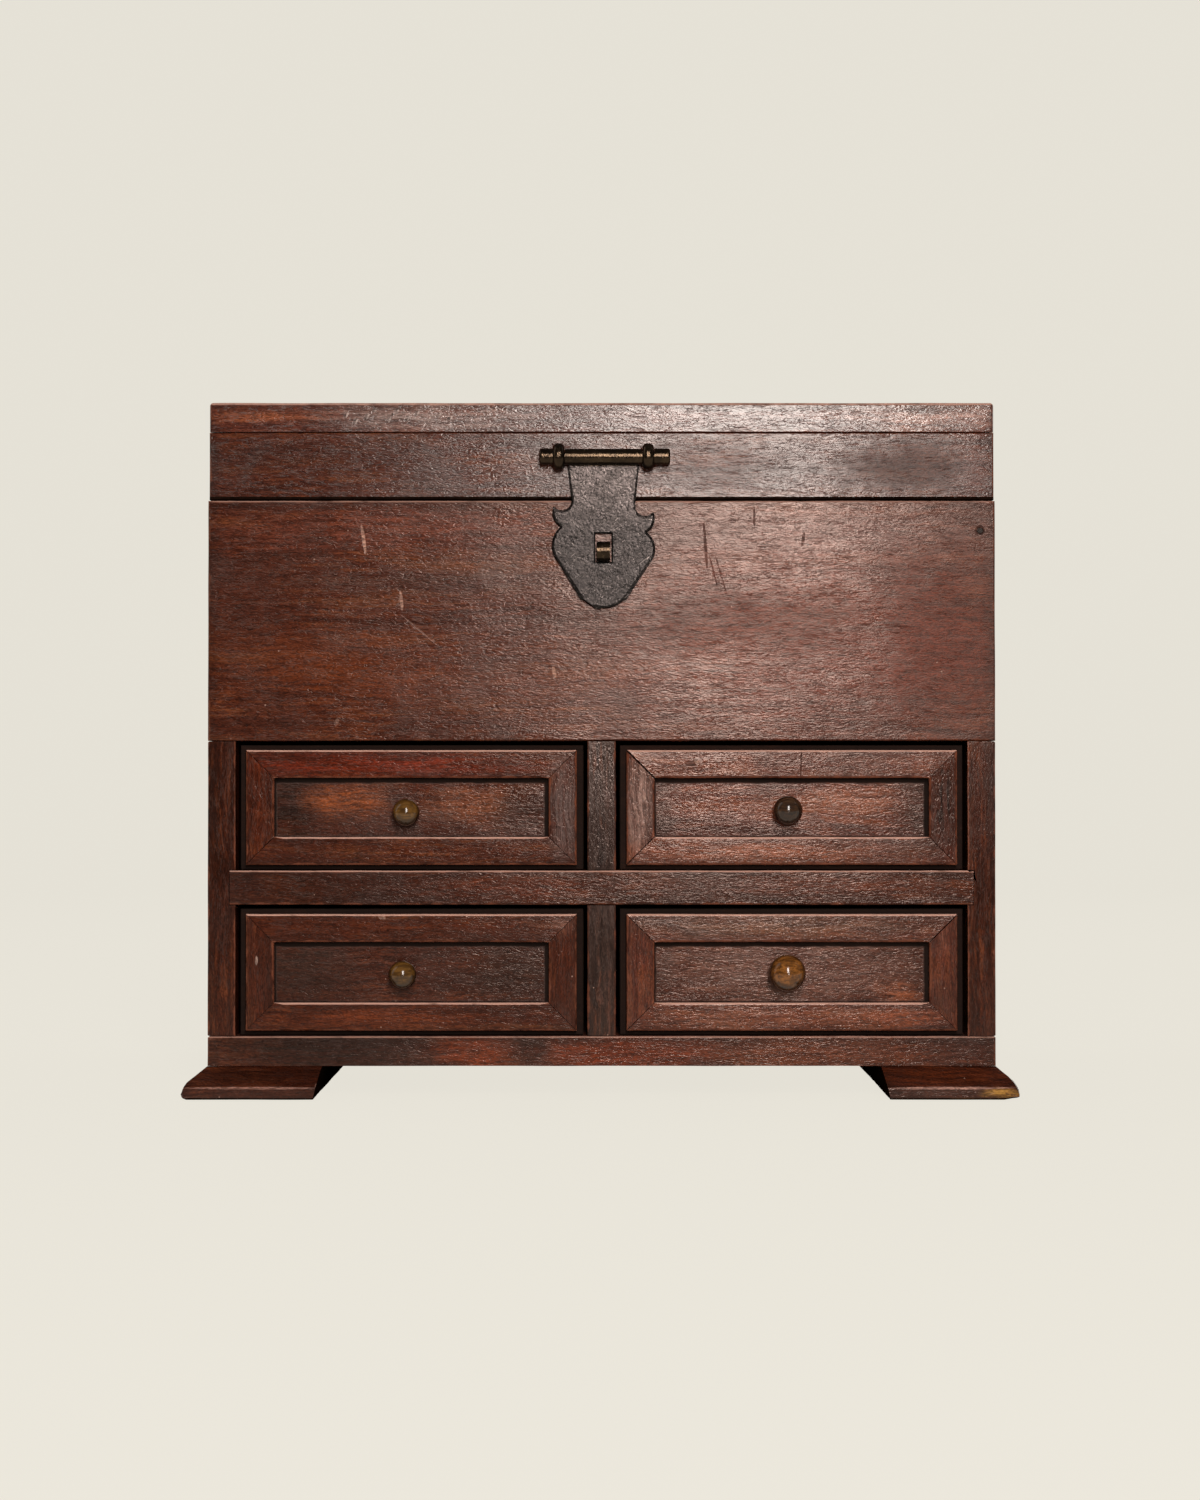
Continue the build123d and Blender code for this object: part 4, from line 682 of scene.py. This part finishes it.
def iron_shell(tree, colour, fine, lines, rough):
    height = put(tree, "Math", {0: fine, 1: 0.14}, operation="MULTIPLY")
    if lines is not None:
        height = put(tree, "Math", {0: lines, 1: -0.10, 2: height}, operation="MULTIPLY_ADD")
    gloss = put(tree, "MapRange", {0: fine, 1: 0.3, 2: 0.7, 3: rough - 0.06, 4: rough + 0.1})
    coat(tree, height, {"Base Color": colour, "Metallic": 0.9, "Roughness": gloss})


def old_iron(name, tones, rough, grit, speck):
    finish, tree = blank_finish(name)
    mm = millimetres(tree)
    colour, fine = iron_tones(tree, mm, tones, grit, speck)
    iron_shell(tree, colour, fine, None, rough)
    return finish


# pin, eyes and staple: wrought iron kept oily by fingers, dark brown and glossy
dark_iron = old_iron("oiled_wrought_iron", ("#2c2219", "#3d3023", "#5e4f3e"), 0.18, 2.5, 0.4)
# hinges: iron that has rusted behind the chest, brown and dull
hinge_iron = old_iron("rusty_hinge_iron", ("#2b221d", "#3d2f27", "#5a3a26"), 0.5, 1.6, 0.7)
# nails and screws: iron gone black, with little gleam
nail_iron = old_iron("nail_iron", ("#1a1614", "#2a2522", "#4a423d"), 0.42, 1.2, 0.5)
print("oiled iron, hinge iron and nail iron ready")


# %% The filed plate
def filed_plate(name, tones, rough):
    finish, tree = blank_finish(name)
    mm = millimetres(tree)
    colour, fine = iron_tones(tree, mm, tones, 2.2, 0.2)
    # painted shade: the plate's colour darkens from just under its neck down to the tip below the staple
    low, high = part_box("hasp_plate")
    level = put(tree, "SeparateXYZ", {0: mm}).node.outputs["Z"]
    colour = painted(tree, colour, "#211e1d", level, high.z * 1000 - 15, low.z * 1000 + 40, 0.75)
    lines = put(tree, "TexNoise", {"Vector": mm, "Scale": 1 / 5, "Detail": 1.0, "Distortion": 1.5}, "Fac")
    lines = hairlines(tree, lines, 0.02)
    dirt = put(tree, "Math", {0: lines, 1: 0.6}, operation="MULTIPLY")
    colour = put(tree, "Mix", {0: dirt, "A": colour, "B": linear("#151211")}, **RGBA)
    # hammer and file left strokes, each with a painted highlight on the side towards the light and a painted shade
    # on the other
    sunward = put(tree, "VectorMath", {0: mm, 1: (0.6, 0.0, 0.9)}, operation="ADD")
    near, far = (put(tree, "TexNoise", {"Vector": at, "Scale": 1 / 3.2, "Detail": 1.0, "Distortion": 2.2}, "Fac")
                 for at in (mm, sunward))
    painted_relief_light = put(tree, "Math", {0: near, 1: far}, operation="SUBTRACT")
    painted_relief_light = put(tree, "MapRange", {0: painted_relief_light, 1: -0.25, 2: 0.25, 3: 0.35, 4: 1.7})
    colour = put(tree, "VectorMath", {0: colour, "Scale": painted_relief_light}, operation="SCALE")
    for turn, along in ((38, 14), (-52, 9), (-12, 18)):
        lay = put(tree, "Mapping", {"Vector": mm, "Rotation": (0, math.radians(turn), 0)})
        file_mark = grain(tree, lay, "x", along, 0.8, 1.0, 1.2)
        file_mark = put(tree, "MapRange", {0: file_mark, 1: 0.66, 2: 0.76, 4: 0.7}, **SMOOTH)
        colour = put(tree, "Mix", {0: file_mark, "A": colour, "B": linear(tones[3])}, **RGBA)
        lines = put(tree, "Math", {0: lines, 1: file_mark}, operation="MAXIMUM")
    iron_shell(tree, colour, fine, lines, rough)
    return finish


# the hasp's face: wrought iron filed by hand, dull grey, with strokes in painted highlight and shade
plate_iron = filed_plate("filed_wrought_iron", ("#342e2c", "#403937", "#58504c", "#756b67"), 0.30)
# the hasp's edge and rim: nearly black, matte iron, a painted shade round the plate
painted_shade_rim_iron = old_iron("painted_shade_iron_edge", ("#0c0a09", "#13100f", "#1f1a18"), 0.6, 1.5, 0.4)
print("filed plate and its edge ready")

# %% [markdown]
# ## Knobs, and the bare wood inside
# The knobs are turned and polished by fingers: three dark ones and a larger, paler replacement. Inside, the
# drawers and the well were never waxed, so their wood is dull, paler and straight-grained.

# %% Turned knobs
def turned_wood(name, tones, cracks):
    finish, tree = blank_finish(name)
    mm = millimetres(tree)
    ring = grain(tree, mm, "x", 14, 2.2, 3.0, 0.8)
    cloud = put(tree, "TexNoise", {"Vector": mm, "Scale": 1 / 8, "Detail": 3.0}, "Fac")
    colour = painted(tree, linear(tones[0]), tones[1], ring, 0.35, 0.65)
    colour = painted(tree, colour, tones[2], cloud, 0.5, 0.3, 0.6)
    line = grain(tree, mm, "z", 9, 3.0, 1.0, 2.2)
    line = put(tree, "Math", {0: line, 1: 0.5}, operation="SUBTRACT")
    line = put(tree, "Math", {0: line}, operation="ABSOLUTE")
    line = put(tree, "MapRange", {0: line, 1: 0.02, 2: 0.005, 4: cracks})
    colour = put(tree, "Mix", {0: line, "A": colour, "B": linear("#1a0e07")}, **RGBA)
    # fingers polish the face of a knob, and a painted shade darkens it towards its neck and below
    way = facing(tree)
    neck = put(tree, "Math", {0: way["Z"], 1: -0.35, 2: way["Y"]}, operation="MULTIPLY_ADD")
    colour = painted(tree, colour, "#0f0804", neck, -0.85, -0.2, 0.9)
    height = put(tree, "Math", {0: ring, 1: 0.05}, operation="MULTIPLY")
    coat(tree, height, {"Base Color": colour, "Roughness": 0.14, "IOR": 1.5, "Specular IOR Level": 0.4})
    return finish


# turned hardwood, polished by fingers: a small sharp gleam on a brown or nearly black ground
dark_knob = turned_wood("polished_dark_knob", ("#4a3114", "#6b4a20", "#1f1207"), 0.0)
deep_knob = turned_wood("polished_blackish_knob", ("#2c1d14", "#46301f", "#120a06"), 0.0)
# boxwood, a replacement: yellow-brown, with dark cracks
pale_knob = turned_wood("polished_boxwood_knob", ("#553212", "#8c5826", "#211307"), 0.8)
print("knob finishes ready")


# %% Unwaxed boards
def bare_wood(name, axis, tones, shine=0.15):
    finish, tree = blank_finish(name)
    mm = millimetres(tree)
    broad = grain(tree, mm, axis, 160, 9, 4.0, 0.4)
    fine = grain(tree, mm, axis, 30, 1.2, 3.0)
    mingled = put(tree, "Mix", {0: 0.4, "A": broad, "B": fine})
    colour = painted(tree, linear(tones[0]), tones[2], mingled, 0.36, 0.64)
    stain = put(tree, "TexNoise", {"Vector": mm, "Scale": 1 / 60, "Detail": 3.0}, "Fac")
    colour = painted(tree, colour, tones[1], stain, 0.52, 0.34, 0.5)
    height = put(tree, "Math", {0: fine, 1: 0.15}, operation="MULTIPLY")
    coat(tree, height, {"Base Color": colour, "Roughness": 0.8, "IOR": 1.5, "Specular IOR Level": shine})
    return finish


# drawer linings: bare softwood, pale and straight-grained, with no gleam
LINING = ("#6b4e32", "#5a3d26", "#a07c54")
lining = {axis: bare_wood("bare_softwood_lining_" + axis, axis, LINING) for axis in "xy"}
# floor of the well: the same wood, darker from what was kept on it
well_wood = bare_wood("bare_well_floor", "x", ("#4a3222", "#38241a", "#76543a"))
# soles and inner cheeks of the feet, and the seam under the lid: bare wood painted near-black, as painted shade
painted_shade_black = bare_wood("bare_dark_underside", "y", ("#100906", "#0a0504", "#1c110c"), 0.0)
print("bare boards ready")

# %% [markdown]
# ## Dressing the nodes
# The record names a slot for each node, such as iron for the hasp's plate or lining for a drawer's side.
# Boards and mouldings have a finish of their own, and every other node takes the one of its slot.

# %% Give every node its finish
def dress(piece, finish):
    piece.data.materials.clear()
    for one in finish if isinstance(finish, list) else [finish]:
        piece.data.materials.append(one)


PLAIN = {"plate_iron": plate_iron, "dark_iron": dark_iron, "hinge_iron": hinge_iron, "nail_iron": nail_iron,
         "dark_knob": dark_knob, "pale_knob": pale_knob, "inner_wood": well_wood}
for name, piece in frame["nodes"].items():
    if slot_of_node[name] == "drawer_lining":
        dress(piece, lining["y" if "side" in name else "x"])
    else:
        dress(piece, finishes[name] if name in finishes else PLAIN[slot_of_node[name]])
dress(frame["nodes"]["upper_right_drawer_knob"], deep_knob)
print("dressed nodes:", len(frame["nodes"]))

# %% [markdown]
# ## Worn boards
# The CAD boards are true and sharp, and the real ones have gone out of true: planed by hand, knocked and
# rubbed. A sculpted mesh could show that, but a light hand is enough. Each board that shows is copied from
# its node, merged, sliced into small facets and sunk here and there by a smooth noise, deepest along its
# edges. It only ever sinks into the board, so nothing new can touch.

# %% A copy of a node, cut where it is needed and shown in the node's place
MERGED, LEVEL, THIN = 0.00001, 0.005, 0.000001   # metres, radians, metres
CREASE = math.radians(50)


def merged_copy(node, flatten=True):
    work = bmesh.new()
    work.from_mesh(frame["nodes"][node].data)
    bmesh.ops.remove_doubles(work, verts=work.verts, dist=MERGED)
    if flatten:
        bmesh.ops.dissolve_limit(work, angle_limit=LEVEL, verts=work.verts, edges=work.edges)
    return work


def cut_across(work, spot, across, **waste):
    everything = work.verts[:] + work.edges[:] + work.faces[:]
    return bmesh.ops.bisect_plane(work, geom=everything, dist=THIN, plane_co=spot, plane_no=across, **waste)


def show(work, name, node, finish):
    mesh = bpy.data.meshes.new(name)
    for edge in work.edges:
        edge.smooth = not edge.is_manifold or edge.calc_face_angle(0.0) < CREASE
    for face in work.faces:
        face.smooth = True
    work.to_mesh(mesh)
    work.free()
    piece = bpy.data.objects.new(name, mesh)
    scene.collection.objects.link(piece)
    # added without clearing first, because that would put every face on the first finish
    for one in finish if isinstance(finish, list) else [finish]:
        mesh.materials.append(one)
    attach(piece, body_of_node[node])
    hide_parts(node)
    piece.modifiers.new("even_faces", "WEIGHTED_NORMAL").keep_sharp = True
    return piece


print("nodes to copy from:", len(frame["nodes"]))

# %% Slices, and the wear that sinks them
PLANED, KNOCKED, RUBBED = 0.035, 0.011, 0.026   # sizes of hollows, knocks and rubbed places in metres
ON_FACE = 0.985                                 # a normal this near to an axis is not at an edge


def sink(work, seed, hollow, chip, closed, dents=()):
    work.normal_update()
    moves = {}
    for vert in work.verts:
        spot = vert.co + Vector((seed, seed * 0.7, seed * 1.3))
        depth = hollow * (0.5 + 0.5 * noise.noise(spot / PLANED))
        if max(abs(part) for part in vert.normal) < ON_FACE and not closed(vert):
            knocked = max(0.0, noise.noise(spot / KNOCKED))
            rubbed = max(0.0, noise.noise(spot / RUBBED) - 0.15)
            depth += chip * (0.35 + knocked + 1.4 * rubbed)
        for centre, reach, deep in dents:
            depth += deep * max(0.0, 1 - (vert.co - Vector(centre)).length / reach) ** 0.7
        moves[vert] = vert.normal * depth
    for vert, move in moves.items():
        vert.co -= move


def slices(work, low, high, steps):
    for axis, step in enumerate(steps):
        count = max(1, round((high[axis] - low[axis]) / step))
        across = Vector([float(i == axis) for i in range(3)])
        for i in range(1, count):
            cut_across(work, low + (high - low) * (i / count), across)


print("wear ready, hollows", PLANED, "m across")

# %% [markdown]
# ### The feet
# The lip of each foot ends in a round nose that a spokeshave would leave, and its upper corner is rubbed
# away. A bevel would trip over the fillet that is there already, so the lip is sliced finely and the corners
# are drawn in to a circle.

# %% The ends of a foot's lip, rounded with a spokeshave
NOSE, RUBBED_OFF = 0.0036, 0.0014   # radius of the nose, depth of the rubbed corner


def round_nose(work, low, high, way):
    end = high.x if way > 0 else low.x
    lip = max(vert.co.z for vert in work.verts if abs(vert.co.x - end) < 0.0005)
    planes = [((end - way * NOSE * part, 0, 0), (1, 0, 0)) for part in (0.15, 0.4, 0.7, 1.0, 1.5)]
    planes += [((0, 0, low.z + NOSE * part), (0, 0, 1)) for part in (0.3, 0.6, 1.0)]
    planes += [((0, 0, lip + NOSE * part), (0, 0, 1)) for part in (-0.8, -0.4, 0.4, 0.8)]
    for spot, across in planes:
        cut_across(work, spot, across)
    centre = Vector((end - way * NOSE, 0, low.z + NOSE))
    for vert in work.verts:
        out = Vector(((vert.co.x - centre.x) * way, vert.co.z - centre.z))
        if out.x > 0 and out.y < 0 and out.length > NOSE:
            out *= NOSE / out.length
            vert.co.x, vert.co.z = centre.x + way * out.x, centre.z + out.y
        away = math.hypot(vert.co.x - end, vert.co.z - lip)
        pull = RUBBED_OFF * max(0.0, 1 - away / (1.4 * NOSE)) ** 1.2
        vert.co -= Vector((0.8 * way, 0, 0.6)) * pull


print("nose radius:", NOSE)

# %% [markdown]
# ### The boards that show
# A board keeps its sharp edge where it closes on a neighbour, because nothing has rubbed it there. The lid's
# front rail is painted nearly black along its lower edge, as painted shade in the seam where the lid comes
# down on the case.

# %% Boards with their slices and the sides where they close on a neighbour
SEAM = 0.002      # height of the strip of painted shade under the lid's front rail
AT_JOINT = 0.002  # an edge this near to a closed side isn't worn


def worn_copy(node, seed, steps, joints, hollow=0.0004, chip=0.0003, dents=()):
    low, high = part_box(node)
    work = merged_copy(node)
    if node.endswith("_foot"):
        round_nose(work, low, high, -1.0 if node.startswith("left") else 1.0)
    if node == "lid_front_rail":
        cut_across(work, low + Vector((0, 0, SEAM)), (0, 0, 1))
    slices(work, low, high, steps)

    def closed(vert):
        inside = {"-": vert.co - low, "+": high - vert.co}
        return any(inside[sign]["xyz".index(side)] < AT_JOINT for sign, side in joints)

    sink(work, seed, hollow, chip, closed, dents)
    finish = finishes[node]
    if node.endswith("_foot"):
        # the inner cheeks and the sole were never waxed, and are painted near-black as shade under the chest
        inward = 1.0 if node.startswith("left") else -1.0
        for face in work.faces:
            face.material_index = int(face.normal.x * inward > 0.3 or face.normal.z < -0.5)
        finish = [finish, painted_shade_black]
    if node == "lid_front_rail":
        # the eased lower edge, where the lid comes down on the case, is painted near-black as shade in the seam
        for face in work.faces:
            face.material_index = int(face.calc_center_median().z < low.z + SEAM)
        finish = [finish, painted_shade_black]
    return show(work, "worn_" + node, node, finish)


SLICES = {
    "case_front_board": (0.007, 0.02, 0.008), "lid_front_rail": (0.007, 0.02, 0.007),
    "lid_top_board": (0.007, 0.012, 0.007),
    "lid_left_rail": (0.02, 0.008, 0.008), "lid_right_rail": (0.02, 0.008, 0.008),
    "case_left_side": (0.007, 0.012, 0.008), "case_right_side": (0.007, 0.012, 0.008),
    "case_bottom_board": (0.007, 0.02, 0.007), "middle_shelf": (0.007, 0.03, 0.007),
    "upper_divider": (0.006, 0.03, 0.006), "lower_divider": (0.006, 0.03, 0.006),
    "left_foot": (0.006, 0.008, 0.005), "right_foot": (0.006, 0.008, 0.005),
}
KNOCKS = {"right_foot": [((0.264, -0.177, 0.006), 0.012, 0.0022)]}   # centre, reach and depth
for number, (node, steps) in enumerate(SLICES.items()):
    piece = worn_copy(node, 0.31 * number, steps, BOARDS[node]["joints"], dents=KNOCKS.get(node, ()))
    print(piece.name, "faces:", len(piece.data.polygons))

# %% [markdown]
# ## The mitred mouldings
# Each drawer has four narrow lengths glued on its face and mitred at the corners. They could be one frame,
# but then the mitres would be painted lines. Four lengths, each cut at 45 degrees, eased along its edges
# and a hair apart, show real joints that open differently at each corner.

# %% Four lengths to a drawer
EASE = 0.0015   # the rounding of a length's edges
HOLLOW = CHIP = 0.0003


def moulding_lengths(drawer, seed, joints):
    node = drawer + "_moulding"
    low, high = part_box(node)
    frame_mesh = bmesh.new()
    width = MOULDING_WIDTH / 1000
    corners = {"left": low.x, "right": high.x, "bottom": low.z, "top": high.z}
    for run in ("top", "right", "bottom", "left"):
        upright = run in ("left", "right")
        a, b = low.copy(), high.copy()
        side, along = (0, 2) if upright else (2, 0)
        if run in ("left", "bottom"):
            b[side] = a[side] + width
        else:
            a[side] = b[side] - width
        work = bmesh.new()
        bmesh.ops.create_cube(work, size=1.0)
        bmesh.ops.scale(work, vec=b - a, verts=work.verts)
        bmesh.ops.translate(work, vec=(a + b) / 2, verts=work.verts)
        for x_name, x_way in (("left", 1.0), ("right", -1.0)):
            for z_name, z_way in (("bottom", 1.0), ("top", -1.0)):
                if run not in (x_name, z_name):
                    continue
                # the mitre line runs inwards from the outer corner; the waste lies on the other run's side
                waste = Vector((x_way, 0, -z_way)) if upright else Vector((-x_way, 0, z_way))
                waste.normalize()
                corner = Vector((corners[x_name], 0, corners[z_name])) - waste * joints[z_name + x_name] / 2
                cut = cut_across(work, corner, waste, clear_outer=True)
                rim = [part for part in cut["geom_cut"] if isinstance(part, bmesh.types.BMEdge)]
                bmesh.ops.edgeloop_fill(work, edges=rim)
        bmesh.ops.recalc_face_normals(work, faces=work.faces)
        slices(work, a, b, (0.02, 0.02, 0.006) if upright else (0.006, 0.02, 0.02))
        # the long edges are eased, the mitre faces stay crisp so that a closed joint shows as a hairline
        sharp = [edge for edge in work.edges if edge.calc_face_angle(0.0) > math.radians(30)
                 and abs((edge.verts[0].co - edge.verts[1].co).normalized()[along]) > 0.99]
        bmesh.ops.bevel(work, geom=sharp, offset=EASE, segments=4, profile=0.5, affect="EDGES", material=-1)
        sink(work, seed + 0.17 * len(run), HOLLOW, CHIP,
             lambda vert: any(abs(face.normal.x) > 0.5 and abs(face.normal.z) > 0.5 for face in vert.link_faces))
        for face in work.faces:
            face.material_index = int(upright)
        length_mesh = bpy.data.meshes.new("length")
        work.to_mesh(length_mesh)
        work.free()
        frame_mesh.from_mesh(length_mesh)
        bpy.data.meshes.remove(length_mesh)
    return show(frame_mesh, "worn_" + node, node, finishes[node])


TIGHT = {"topleft": 0.0001, "topright": 0.0001, "bottomleft": 0.0001, "bottomright": 0.0001}   # gaps in metres
OPENED = {"upper_right_drawer": {"topleft": 0.0008, "bottomleft": 0.0004},
          "lower_right_drawer": {"topright": 0.0005, "topleft": 0.0003}}
for number, drawer in enumerate(DRAWERS):
    piece = moulding_lengths(drawer, 2.0 + number, {**TIGHT, **OPENED.get(drawer, {})})
    print(piece.name, "faces:", len(piece.data.polygons))

# %% [markdown]
# ## The filed edge of the hasp
# A plate this thick shows its edge as a dark line all round, in shade, and that shade is painted. The plate is
# copied from its node, its front is inset and the rim pushed back a little, and the rim and the edge take
# their own near-black iron as painted shade. The knuckle above them takes the iron of the pin, and the back
# is filed as the front is.

# %% Bevelled hasp plate
RIM, PUSHED = 0.0013, 0.0005   # width of the rim, and how far its edge is pushed back
FACING = 0.9                   # a normal this near to the front or the back counts as that side
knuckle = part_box("hasp_pin")[0].z - 0.002
work = merged_copy("hasp_plate")
work.normal_update()
front = [face for face in work.faces if face.normal.y < -FACING and face.calc_center_median().z < knuckle]
bmesh.ops.inset_region(work, faces=front, thickness=RIM, use_even_offset=False, use_boundary=True)
inner = set(front)
rim = [face for face in work.faces if face.normal.y < -FACING and face not in inner]
outer = {vert for face in rim for vert in face.verts} - {vert for face in front for vert in face.verts}
bmesh.ops.translate(work, vec=(0, PUSHED, 0), verts=[vert for vert in outer if vert.co.z < knuckle])
for face in work.faces:
    # the rim and the edge are painted near-black as the shade round the plate
    in_painted_shade = face not in inner and face.normal.y < FACING
    face.material_index = 2 if face.calc_center_median().z > knuckle else int(in_painted_shade)
piece = show(work, "worn_hasp_plate", "hasp_plate", [plate_iron, painted_shade_rim_iron, dark_iron])
print(piece.name, "faces:", len(piece.data.polygons))

# %% [markdown]
# ## Room between the knuckles
# In the CAD the knuckles of a butt hinge bear on each other without a gap. A real hinge has a hair of room
# there. The lid's knuckle is copied from its node and each of its ends is drawn in by a tenth of a
# millimetre, so that the lid turns without rubbing.

# %% Shorter lid knuckles
KNUCKLE_ROOM, AT_END = 0.0001, 0.00005   # metres
for side in ("left", "right"):
    node = side + "_hinge_lid_leaf"
    pin_low, pin_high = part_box(side + "_hinge_pin")
    pin = (pin_low + pin_high) / 2
    work = merged_copy(node, flatten=False)
    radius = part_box(node)[1].y - pin.y
    barrel = [vert for vert in work.verts if math.hypot(vert.co.y - pin.y, vert.co.z - pin.z) < 1.02 * radius]
    half = max(abs(vert.co.x - pin.x) for vert in barrel)
    for vert in barrel:
        if half - abs(vert.co.x - pin.x) < AT_END:
            vert.co.x -= math.copysign(KNUCKLE_ROOM, vert.co.x - pin.x)
    piece = show(work, "eased_" + node, node, hinge_iron)
    print(piece.name, "half length of its knuckle:", round(half - KNUCKLE_ROOM, 5))
